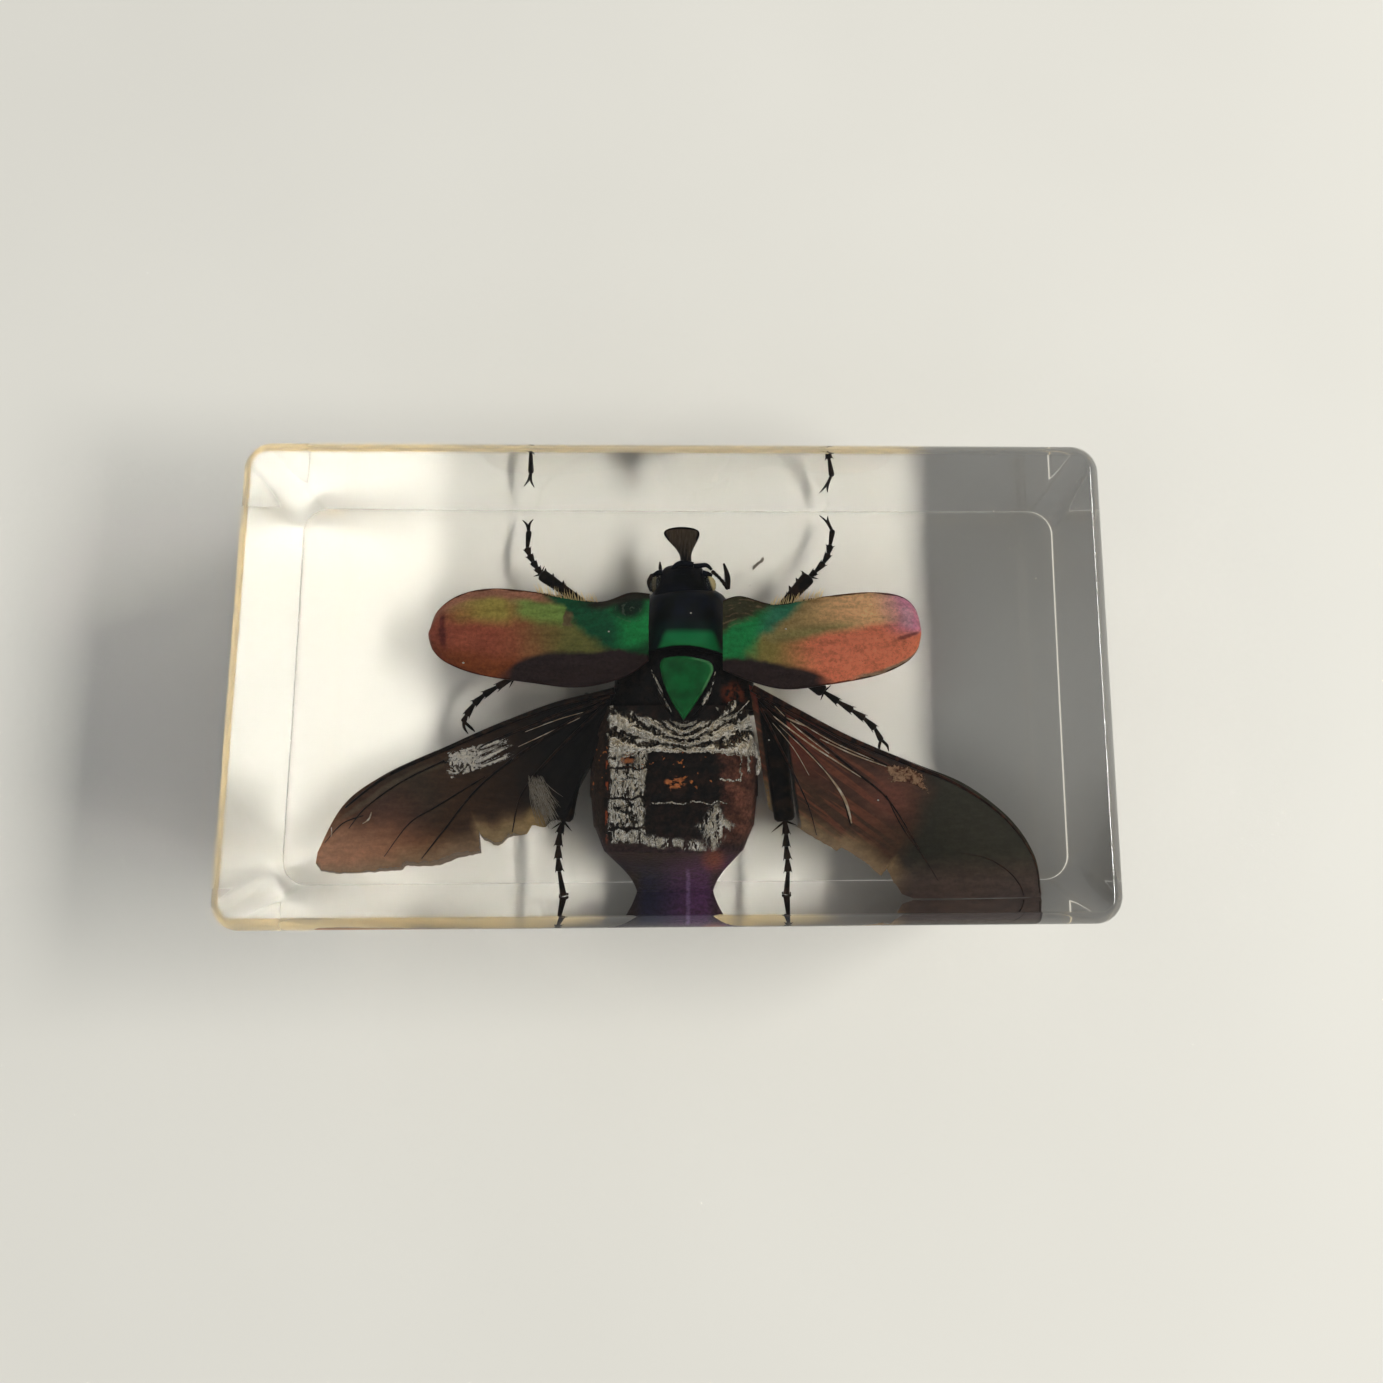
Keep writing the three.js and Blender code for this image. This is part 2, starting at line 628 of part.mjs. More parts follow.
/** The block between two heights; the outer edges of the base and the top are rounded. */
function blockSlice(low, high) {
  const rounded = (radius, share) => {
    const turn = (share * Math.PI) / 2;
    return { inset: radius * (1 - Math.sin(turn)), rise: radius * (1 - Math.cos(turn)) };
  };
  const rings = [];
  if (low === 0) {
    for (const share of steps(EDGE_STEPS)) {
      const { inset, rise } = rounded(BASE_EDGE_RADIUS, share);
      rings.push(blockRing(rise, inset));
    }
  } else {
    rings.push(blockRing(low, 0));
  }
  if (high === BLOCK_HEIGHT) {
    for (const share of steps(EDGE_STEPS).reverse()) {
      const { inset, rise } = rounded(TOP_EDGE_RADIUS, share);
      rings.push(blockRing(BLOCK_HEIGHT - rise, inset));
    }
  } else {
    rings.push(blockRing(high, 0));
  }
  return loft(rings);
}

const HORN_ROOM = [[-1.9, 10], [2.9, 10], [2.9, 14.6], [-1.9, 14.6]];
const SCUTELLUM_ROOM = [
  [-2.0, 3.2], [3.7, 3.2], [3.7, 0.9], [2.2, -2.2], [0.6, -4.0], [-1.0, -2.1], [-2.0, 0.9],
];
const ABDOMEN_ROOM_ROWS = [
  [-1.9, 6.7, 11.0, 4.4],
  [-7.2, 7.6, 11.6, 4.4],
  [-12.5, 7.3, 11.4, 4.4],
  [-15.6, 5.4, 10.8, 4.8],
  [-17.9, 3.2, 9.4, 6.8],
];
const ANTENNA_ROOMS = [
  [[-2.0, 10.8, 8.0, 0.8], [-3.0, 9.2, 8.6, 0.9], [-2.7, 8.2, 9.0, 0.9]],
  [[3.0, 10.6, 8.0, 0.8], [4.5, 8.8, 8.8, 0.9]],
  [[4.5, 8.6, 8.8, 0.9], [4.0, 11.2, 9.0, 0.8]],
];

const SHEET_MARGIN = 0.84; // how far a sheet's room reaches past its outline

/** The room for a sheet between two edges, as a flat-topped pocket with upright walls. */
function roomForSheet(front, rear, low, high) {
  const around = [...sampled(front, 8), ...sampled(rear, 8).reverse()];
  const centre = around.reduce(([x, y], point) => [x + point[0], y + point[1]], [0, 0]);
  const [middleX, middleY] = centre.map((sum) => sum / around.length);
  const grown = around.map(([x, y]) => {
    const [dx, dy] = [x - middleX, y - middleY];
    const grow = 1 + SHEET_MARGIN / Math.hypot(dx, dy);
    return [middleX + dx * grow, middleY + dy * grow];
  });
  return prism(grown, low, high);
}

/** Trailing edges without their tears, so that the pocket round a torn wing stays simple. */
const WING_ROOM_LEFT = [
  [-4.6, -2.6], [-9.9, -11.8], [-15.4, -14.4], [-23.2, -16.4], [-29.4, -16.6], [-31.1, -15.9],
];
const WING_ROOM_RIGHT = [
  [5.4, -2.6], [7.9, -11.0], [14.0, -14.9], [18.6, -17.1], [24.0, -17.8], [29.6, -17.8], [31.7, -17.0],
];
const ELYTRA_ROOM_TOP = 13.1;

function pocket() {
  const elytraLow = ELYTRON_TIP_HEIGHT - ELYTRON_THICKNESS - POCKET_GAP;
  const wingLow = WING_TIP_HEIGHT - WING_THICKNESS - POCKET_GAP;
  const wingHigh = WING_ROOT_HEIGHT + POCKET_GAP;
  return [
    roomForBody(HEAD_ROWS, HEAD_MIDDLE, POCKET_GAP + 0.5),
    prism(HORN_ROOM, WIDEST_HEIGHT - 0.2, 10.9),
    roomForBody(PRONOTUM_ROWS, PRONOTUM_MIDDLE, POCKET_GAP + 0.1, PRONOTUM_SHAPE),
    roomForBody(THORAX_ROWS, THORAX_MIDDLE, POCKET_GAP + 0.2, THORAX_SHAPE),
    prism(SCUTELLUM_ROOM, PARTING_HEIGHT - 0.5, 12.6),
    roomForBody(ABDOMEN_ROOM_ROWS, ABDOMEN_MIDDLE, POCKET_GAP + PLATE_STEP),
    ...ANTENNA_ROOMS.map(roomForLimb),
    roomForSheet(ELYTRON_LEFT.front, ELYTRON_LEFT.rear, elytraLow, ELYTRA_ROOM_TOP),
    roomForSheet(ELYTRON_RIGHT.front, ELYTRON_RIGHT.rear, elytraLow, ELYTRA_ROOM_TOP),
    roomForSheet(WING_LEFT.lead, WING_ROOM_LEFT, wingLow, wingHigh),
    roomForSheet(WING_RIGHT.lead, WING_ROOM_RIGHT, wingLow, wingHigh),
    ...Object.values(LEGS).map(roomForLeg),
  ];
}

function resinLayer(low, high) {
  const layer = solidOf(blockSlice(low, high));
  return geometryOf(pocket().map(solidOf).reduce((rest, room) => rest.subtract(room), layer));
}

// ---------------------------------------------------------------- the whole object

const specimen = new THREE.Group();
specimen.add(mesh("head", head(), HEAD_CHITIN));
specimen.add(mesh("antenna_left", antenna(ANTENNA_LEFT), BLACK_CHITIN));
specimen.add(mesh("antenna_right", antenna(ANTENNA_RIGHT), BLACK_CHITIN));
specimen.add(mesh("pronotum", body(PRONOTUM_ROWS, PRONOTUM_MIDDLE, PRONOTUM_SHAPE), HEAD_CHITIN));
specimen.add(mesh("thorax", body(THORAX_ROWS, THORAX_MIDDLE, THORAX_SHAPE), BLACK_CHITIN));
specimen.add(mesh("scutellum", scutellum(), GREEN_CHITIN));
specimen.add(mesh("abdomen", body(abdomenRows(), ABDOMEN_MIDDLE), ABDOMEN_CHITIN));
specimen.add(mesh("elytron_left", elytron(ELYTRON_LEFT), ELYTRON_CHITIN));
specimen.add(mesh("elytron_right", elytron(ELYTRON_RIGHT), ELYTRON_CHITIN));
specimen.add(mesh("hindwing_left", hindwing(WING_LEFT), WING_MEMBRANE));
specimen.add(mesh("hindwing_right", hindwing(WING_RIGHT), WING_MEMBRANE));
for (const [name, shape] of Object.entries(LEGS)) {
  specimen.add(mesh(name, leg(shape), BLACK_CHITIN));
}

const paperweight = new THREE.Group();
paperweight.add(mesh("resin_lower", resinLayer(0, PARTING_HEIGHT), RESIN));
paperweight.add(mesh("resin_upper", resinLayer(PARTING_HEIGHT, BLOCK_HEIGHT), RESIN));
paperweight.add(specimen);

export default paperweight;
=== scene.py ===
"""A fan-horned flower beetle with its wings spread, cast in a clear resin block."""

import math
import random

import bmesh
import bpy
from mathutils import Matrix, Vector, noise


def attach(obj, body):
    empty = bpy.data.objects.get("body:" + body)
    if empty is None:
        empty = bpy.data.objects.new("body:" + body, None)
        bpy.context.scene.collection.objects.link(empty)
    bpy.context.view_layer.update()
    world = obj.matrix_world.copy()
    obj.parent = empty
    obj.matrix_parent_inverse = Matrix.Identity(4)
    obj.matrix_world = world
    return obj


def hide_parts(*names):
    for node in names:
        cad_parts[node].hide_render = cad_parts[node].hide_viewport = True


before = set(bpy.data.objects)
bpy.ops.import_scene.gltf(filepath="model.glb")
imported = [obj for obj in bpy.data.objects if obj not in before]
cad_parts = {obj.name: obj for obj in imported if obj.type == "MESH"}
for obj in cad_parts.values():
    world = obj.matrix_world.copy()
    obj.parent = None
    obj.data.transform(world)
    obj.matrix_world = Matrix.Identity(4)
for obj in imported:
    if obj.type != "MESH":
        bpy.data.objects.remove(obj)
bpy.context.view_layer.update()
SCENE = bpy.context.scene
MM = 0.001  # every size below is in millimetres, in the frame of the CAD model

# ---------------------------------------------------------------- sizes

BLOCK_LENGTH = 73.0
BLOCK_DEPTH = 40.2
BLOCK_HEIGHT = 20.0
END_DRAFT = 0.4
SIDE_DRAFT = 2.5
TOP_EDGE_RADIUS = 1.1
TOP_EDGE_STEPS = 14
TOP_EDGE_FULLNESS = 1.4  # 1 is a straight bevel, 2 a full round
BASE_EDGE_RADIUS = 0.015
BASE_EDGE_STEPS = 6
CORNER_RADIUS = 2.3
CORNER_STEPS = 14
WALL_MARGIN = 0.04  # keeps the shading of the walls flat beside their edges
RESIN_IOR = 1.5
RESIN_TINT = (0.93, 0.88, 0.74, 1)
RESIN_DENSITY = 4.0  # how strongly the tint is taken up, to the metre

BODY_SIDES = 56
BODY_FULLNESS = 0.85  # 1 is a true oval, less is squarer
RINGS_PER_ROW = 5
WIDEST_HEIGHT = 8.0
HEAD_MIDDLE = 0.35
PRONOTUM_MIDDLE = 0.7
THORAX_MIDDLE = 0.5
ABDOMEN_MIDDLE = -0.3
BELLY_HEIGHT = 4.5
TAIL_BELLY_HEIGHT = 4.8
TAIL_GAP = 0.015  # between the tail and the front wall

HORN_ROOT = (10.45, 8.6)  # y and height
HORN_RISE = 0.22  # in radians
HORN_THICKNESS = 0.42
EYE_CENTRE = (9.1, 8.9)  # y and height
EYE_RADIUS = 0.82
SCUTELLUM_CENTRE = (0.8, 0.4)

FILM_MIDDLE = 0.6
FILM_FRONT = -1.9
FILM_LENGTH = 12.6
FILM_LEFT = -6.2
FILM_RIGHT = 7.0
FILM_GAP = 0.2  # between the film and the plates under it
FOLD_FOOT = 6.1  # how far behind the frame's middle the folds start
FOLD_SPREAD = 1.5  # keeps the folds from meeting in one point
FOLD_COUNT = 19.0  # more of it makes more folds

ELYTRON_THICKNESS = 0.4
ELYTRON_BASE_HEIGHT = 11.2
ELYTRON_TIP_HEIGHT = 9.4
ELYTRON_CROWN = 1.45
ELYTRON_STEPS_ALONG = 84
ELYTRON_STEPS_ACROSS = 40
FRINGE_HEIGHT = 11.0
FRINGE_HAIRS = 62
HAIR_RADIUS = 0.036

WING_ROOT_HEIGHT = 9.5
WING_TIP_HEIGHT = 8.1
WING_REACH = 31.0
WING_STEPS_ACROSS = 44
TORN_EDGE_STEPS = 7  # between two points of a torn edge
STRAND_COUNT = 90
STRAND_ROOT = (-12.3, -8.3, 9.3)

FEMUR_RADIUS = 0.75
FLOOR_HALF = 900.0
FLOOR_DROP = 0.05  # how far the floor lies under the base

# ---------------------------------------------------------------- materials


def srgb(red, green, blue):
    """A colour given in the 0 to 255 values of a screen, as Blender's linear colour."""
    shares = [value / 255 for value in (red, green, blue)]
    linear = [s / 12.92 if s <= 0.04045 else ((s + 0.055) / 1.055) ** 2.4 for s in shares]
    return (*linear, 1.0)


class Value:
    """A node's output. Python's operators on it become Math nodes."""

    def __init__(self, finish, socket):
        self.finish = finish
        self.socket = socket

    def _math(self, operation, *operands):
        sockets = dict(enumerate(operands))
        return self.finish.node("ShaderNodeMath", {"operation": operation}, sockets)

    def __add__(self, other):
        return self._math("ADD", self, other)

    def __radd__(self, other):
        return self._math("ADD", other, self)

    def __sub__(self, other):
        return self._math("SUBTRACT", self, other)

    def __rsub__(self, other):
        return self._math("SUBTRACT", other, self)

    def __mul__(self, other):
        return self._math("MULTIPLY", self, other)

    def __rmul__(self, other):
        return self._math("MULTIPLY", other, self)

    def __truediv__(self, other):
        return self._math("DIVIDE", self, other)

    def __pow__(self, other):
        return self._math("POWER", self, other)

    def __abs__(self):
        return self._math("ABSOLUTE", self)

    def wave(self):
        """The sine of it, from -1 to 1."""
        return self._math("SINE", self)

    def at_least(self, other):
        """The larger of the two."""
        return self._math("MAXIMUM", self, other)


class Nodes:
    """A node tree, and the one way in which it gets its nodes."""

    def __init__(self, tree):
        self.tree = tree

    def feed(self, node, key, value):
        """Sets a socket to a plain value, or links it to a Value."""
        if isinstance(value, Value):
            self.tree.links.new(value.socket, node.inputs[key])
        else:
            node.inputs[key].default_value = value

    def node(self, kind, settings=None, sockets=None, output=0):
        """A new node with its settings and what its sockets take, as the Value of one output."""
        made = self.tree.nodes.new(kind)
        for key, value in (settings or {}).items():
            setattr(made, key, value)
        for key, value in (sockets or {}).items():
            self.feed(made, key, value)
        return Value(self, made.outputs[output])


class Finish(Nodes):
    """A material for one kind of surface. `base` is its colour so far, layer over layer."""

    def __init__(self, name, **sockets):
        self.material = bpy.data.materials.new(name)
        self.material.use_nodes = True
        super().__init__(self.material.node_tree)
        self.shader = self.tree.nodes["Principled BSDF"]
        self.base = None
        self.set(**sockets)

    def place(self):
        """The place on the beetle, in millimetres."""
        metres = self.node("ShaderNodeTexCoord", output="Object")
        return self.node("ShaderNodeVectorMath", {"operation": "SCALE"}, {0: metres, "Scale": 1000.0})

    def axes(self):
        """The place on the beetle as three numbers in millimetres."""
        place = self.place()
        return [self.node("ShaderNodeSeparateXYZ", None, {0: place}, axis) for axis in "XYZ"]

    def stretched(self, x, y, z):
        """The place on the beetle, stretched along each axis before a texture reads it."""
        sockets = {0: self.place(), 1: (x, y, z)}
        return self.node("ShaderNodeVectorMath", {"operation": "MULTIPLY"}, sockets)

    def tilted(self, angle, along, across):
        """The place on the beetle, turned level by `angle` and then stretched."""
        turned = self.node(
            "ShaderNodeVectorRotate", {"rotation_type": "Z_AXIS"}, {"Vector": self.place(), "Angle": -angle}
        )
        sockets = {0: turned, 1: (along, across, 1.0)}
        return self.node("ShaderNodeVectorMath", {"operation": "MULTIPLY"}, sockets)

    def mark(self, name):
        """A number that the mesh carries at each of its points."""
        settings = {"attribute_type": "GEOMETRY", "attribute_name": name}
        return self.node("ShaderNodeAttribute", settings, None, "Fac")

    def wing_marks(self, drift, scale, detail):
        """How far along and across its wing a place is, blurred by up to half of `drift`."""
        blur = drift * (self.grain(scale, detail) - 0.5)
        return self.mark("along") + blur, self.mark("across") + blur

    def grain(self, scale, detail=3.0, where=None, roughness=0.55, distortion=0.0):
        """Soft noise from 0 to 1, with `scale` lumps to the millimetre."""
        sockets = {
            "Vector": where or self.place(),
            "Scale": scale,
            "Detail": detail,
            "Roughness": roughness,
            "Distortion": distortion,
        }
        return self.node("ShaderNodeTexNoise", None, sockets)

    def cells(self, scale):
        """Distance to the nearest of many scattered points, `scale` of them to the millimetre."""
        sockets = {"Vector": self.place(), "Scale": scale}
        return self.node("ShaderNodeTexVoronoi", None, sockets, "Distance")

    def zone(self, value, start, end):
        """0 before `start` and 1 after `end`, with a soft step between them."""
        sockets = {"Value": value, "From Min": start, "From Max": end}
        if start > end:
            sockets = {"Value": value, "From Min": end, "From Max": start, "To Min": 1.0, "To Max": 0.0}
        return self.node("ShaderNodeMapRange", {"interpolation_type": "SMOOTHSTEP"}, sockets)

    def spot(self, centre, radius, soft=0.6):
        """1 inside a round spot at [x, y] and 0 outside it."""
        x, y, _ = self.axes()
        away = ((x - centre[0]) ** 2.0 + (y - centre[1]) ** 2.0) ** 0.5
        return self.zone(away, radius * (1 + soft), radius * (1 - soft))

    def mix(self, share, under, over):
        """The colour `over` laid on the colour `under`."""
        settings = {"data_type": "RGBA", "clamp_factor": True}
        return self.node("ShaderNodeMix", settings, {0: share, 6: under, 7: over}, 2)

    def lay(self, share, colour):
        """Lays a colour over what the surface has so far."""
        self.base = self.mix(share, self.base, colour)

    def shade(self, colour, share):
        """A colour multiplied by a number."""
        sockets = {0: colour, "Scale": share}
        return self.node("ShaderNodeVectorMath", {"operation": "SCALE"}, sockets)

    def relief(self, height, depth, strength=1.0):
        """Raises the surface by `height`, where 1 stands for `depth` millimetres."""
        sockets = {"Height": height, "Distance": depth * MM, "Strength": strength}
        self.feed(self.shader, "Normal", self.node("ShaderNodeBump", None, sockets))

    def set(self, **sockets):
        """Sets sockets of the Principled shader, named with underscores for spaces."""
        for key, value in sockets.items():
            self.feed(self.shader, key.replace("_", " "), value)


def clear_resin():
    """Polished casting resin that takes a little blue out of the light."""
    finish = Finish("clear_resin", Base_Color=(1, 1, 1, 1), Roughness=0.0, Transmission_Weight=1.0)
    finish.set(IOR=RESIN_IOR)
    sockets = {"Color": RESIN_TINT, "Density": RESIN_DENSITY}
    absorbed = finish.node("ShaderNodeVolumeAbsorption", None, sockets)
    finish.feed(finish.tree.nodes["Material Output"], "Volume", absorbed)
    return finish


def leg_chitin():
    """Black legs that turn brown in soft patches."""
    finish = Finish("leg_chitin", Specular_IOR_Level=0.1)
    ridges = finish.grain(6.0, 3.0)
    tone = finish.grain(0.8, 2.0)
    finish.set(
        Base_Color=finish.mix(finish.zone(tone, 0.4, 0.7), srgb(22, 19, 16), srgb(52, 38, 27)),
        Roughness=0.34 + 0.2 * (ridges - 0.5),
    )
    finish.relief(ridges, 0.03, 0.6)
    return finish


def horn_chitin():
    """Brown-black horn: lighter towards the fan, black along its rim."""
    finish = Finish("horn_chitin", Specular_IOR_Level=0.15)
    _, y, _ = finish.axes()
    rim = finish.mark("rim")
    fluting = finish.grain(3.0, 3.0, finish.stretched(2.2, 0.35, 1.0))
    finish.base = finish.mix(finish.zone(y, 11.2, 13.4), srgb(26, 24, 22), srgb(78, 66, 52))
    finish.lay(finish.zone(fluting, 0.45, 0.75) * 0.5, srgb(104, 92, 78))
    finish.lay(finish.zone(rim, 0.74, 0.93), srgb(14, 12, 11))
    finish.set(Base_Color=finish.base, Roughness=0.3 + 0.2 * (fluting - 0.5))
    finish.relief(fluting, 0.06, 0.7)
    return finish


def head_shell():
    """Near black, with a blue-green sheen that breaks up in fine punctures."""
    finish = Finish("head_shell", Specular_IOR_Level=0.1, Metallic=0.35)
    sheen = finish.grain(0.6, 3.0)
    pits = finish.cells(4.5)
    finish.base = finish.mix(finish.zone(sheen, 0.35, 0.7), srgb(6, 12, 14), srgb(14, 20, 34))
    finish.lay(finish.zone(pits, 0.16, 0.05) * 0.6, srgb(5, 9, 10))
    finish.set(Base_Color=finish.base, Roughness=0.36 + 0.2 * (finish.grain(5.0) - 0.5))
    finish.relief(finish.zone(pits, 0.04, 0.2), 0.03, 0.7)
    return finish


def pronotum_shell():
    """Blue-black shield with a vivid green band before its rear edge."""
    finish = Finish("pronotum_shell", Specular_IOR_Level=0.2, Metallic=0.2)
    x, y, _ = finish.axes()
    sheen = finish.grain(0.45, 3.0)
    finish.base = finish.mix(finish.zone(sheen, 0.35, 0.7), srgb(5, 17, 20), srgb(12, 24, 44))
    finish.lay(finish.zone(y, 6.0, 4.6) * 0.8, srgb(8, 48, 42))
    middle = abs(x - 1.05)
    band = finish.zone(y, 4.95, 4.2) * finish.zone(middle + 0.4 * (y - 3.6), 2.8, 2.2)
    finish.lay(band, srgb(24, 152, 88))
    lip = finish.zone(y + 0.05 * (x - 1.0) ** 2.0 + 0.06 * (x - 1.0), 3.4, 3.25)
    finish.lay(lip, srgb(5, 12, 11))
    pits = finish.cells(4.0)
    finish.lay(finish.zone(pits, 0.12, 0.04) * 0.5, srgb(4, 14, 14))
    finish.set(Base_Color=finish.base, Roughness=0.33 + 0.15 * (finish.grain(4.0) - 0.5))
    finish.relief(finish.zone(pits, 0.03, 0.16), 0.02, 0.6)
    return finish


def scutellum_shell():
    """Vivid green, with a painted highlight along its right edge and a dark rim."""
    finish = Finish("scutellum_shell", Specular_IOR_Level=0.2, Metallic=0.15)
    rim = finish.mark("rim")
    soft = finish.grain(0.7, 3.0)
    finish.base = finish.mix(finish.zone(soft, 0.3, 0.75), srgb(12, 100, 48), srgb(20, 134, 68))
    x, y, _ = finish.axes()
    # painted highlight: a pale line along the right edge, on the side that faces the key light
    painted_highlight = finish.zone(rim, 0.84, 0.95) * finish.zone(x + 0.3 * y, 1.6, 2.4)
    finish.lay(painted_highlight * 0.7, srgb(110, 186, 130))
    finish.lay(finish.zone(rim, 0.965, 1.0), srgb(8, 24, 18))
    finish.set(Base_Color=finish.base, Roughness=0.34 + 0.15 * (finish.grain(5.0) - 0.5))
    finish.relief(finish.grain(7.0), 0.015, 0.6)
    return finish


GREEN = srgb(34, 150, 82)
TEAL = srgb(52, 128, 98)
YELLOW_GREEN = srgb(134, 172, 84)
MOSS = srgb(176, 164, 80)
OLIVE = srgb(120, 122, 66)
TAN = srgb(244, 190, 138)
BRICK = srgb(176, 94, 70)
CORAL = srgb(240, 136, 104)
MAROON = srgb(178, 122, 96)
VIOLET = srgb(214, 142, 170)
# colour of the painted shadow on the elytra
PAINTED_SHADOW = srgb(52, 40, 42)
UMBER = srgb(70, 52, 40)
PIT_DARKNESS = 0.5


def punctured(finish):
    """Fine pits and specks over an elytron, and the broken gloss between them."""
    pits = finish.cells(3.6)
    speckle = finish.grain(3.0, 3.0, roughness=0.7)
    streaks = finish.grain(1.2, 3.0, finish.stretched(0.3, 1.5, 1.0))
    tone = 0.86 + 0.4 * finish.zone(speckle, 0.3, 0.7)
    tone = tone * (1 - PIT_DARKNESS * finish.zone(pits, 0.17, 0.05))
    tone = tone * (1.14 - 0.3 * finish.zone(streaks, 0.4, 0.75))
    finish.set(
        Base_Color=finish.shade(finish.base, tone),
        Roughness=0.42 + 0.2 * (speckle - 0.5),
        Metallic=0.25,
        Specular_IOR_Level=0.15,
    )
    finish.relief(finish.zone(pits, 0.04, 0.24) + 0.6 * speckle, 0.04, 0.8)
    return finish


def elytron_left_shell():
    """Green at the base, two yellow-green patches, brick red behind, a brown rim, painted shadow near the
    rear edge and a spot of painted shade near the base.
    """
    finish = Finish("elytron_left_shell")
    along, across = finish.wing_marks(0.09, 0.5, 4.0)
    finish.base = finish.mix(finish.zone(along, 0.3, 0.66), OLIVE, BRICK)
    rear_rim = finish.zone(across, 0.62, 0.9) * finish.zone(along, 0.45, 0.6)
    finish.lay(rear_rim, srgb(140, 74, 40))
    finish.lay(finish.zone(across, 0.3, 0.08) * finish.zone(along, 0.34, 0.5), MAROON)
    streak = finish.zone(across, 0.07, 0.15)
    outer = streak * finish.zone(across, 0.48, 0.3) * finish.zone(along, 0.9, 0.66)
    outer = outer * finish.zone(along, 0.54, 0.62)
    finish.lay(outer * 0.9, MOSS)
    finish.lay(finish.zone(along + 0.44 * across, 0.49, 0.4), srgb(24, 96, 62))
    finish.lay(finish.zone(along + 0.06 * across, 0.2, 0.1), srgb(34, 158, 84))
    finish.lay(finish.zone(across, 0.6, 0.8) * finish.zone(along, 0.24, 0.1), srgb(18, 84, 48))
    inner = streak * finish.zone(across, 0.4, 0.26) * finish.zone(along, 0.6, 0.53)
    inner = inner * finish.zone(along, 0.355, 0.37)
    finish.lay(inner * 0.85, YELLOW_GREEN)
    wedge = finish.zone(abs(along - 0.343), 0.028, 0.014) * finish.zone(abs(across - 0.26), 0.1, 0.06)
    finish.lay(wedge * 0.9, srgb(118, 102, 74))
    x, y, _ = finish.axes()
    # painted shade: a dark spot near the base
    painted_shade_spot = finish.spot((-4.2, 7.0), 1.5, 0.45)
    finish.lay(painted_shade_spot * 0.95, srgb(18, 30, 30))
    swirl = ((x + 4.0) ** 2.0 + 1.6 * (y - 6.5) ** 2.0) ** 0.5
    swirl = swirl + 0.9 * (finish.grain(1.2, 2.0) - 0.5)
    # pale rings of painted highlight inside the painted shade spot
    arcs = finish.zone((swirl * 10.0).wave(), 0.5, 0.95) * finish.zone(finish.grain(1.6, 2.0), 0.45, 0.56)
    finish.lay(arcs * painted_shade_spot * 0.35, srgb(110, 122, 108))
    corner = finish.zone(across, 0.14, 0.05) * finish.zone(along, 0.34, 0.24)
    finish.lay(corner, srgb(44, 44, 34))
    # painted shadow near the rear edge, up to a curved boundary
    boundary = across - 3.3 * (along - 0.32).at_least(0.0) ** 2.0
    boundary = boundary - 2.0 * (0.16 - along).at_least(0.0)
    shadowed = finish.zone(boundary, 0.58, 0.66) * finish.zone(along, 0.67, 0.57)
    finish.lay(shadowed, PAINTED_SHADOW)
    ridge = finish.zone(abs(along + 0.12 * (across - 0.5) ** 2.0 - 0.885), 0.03, 0.008)
    finish.lay(ridge * finish.zone(abs(across - 0.48), 0.36, 0.2) * 0.8, srgb(84, 34, 36))
    finish.lay(finish.zone(along, 0.78, 0.94) * 0.45, srgb(122, 62, 54))
    finish.lay(finish.zone(across, 0.025, 0.01) * 0.85, srgb(46, 26, 22))
    finish.lay(finish.zone(across, 0.975, 0.99) * 0.7, srgb(46, 26, 22))
    return punctured(finish)


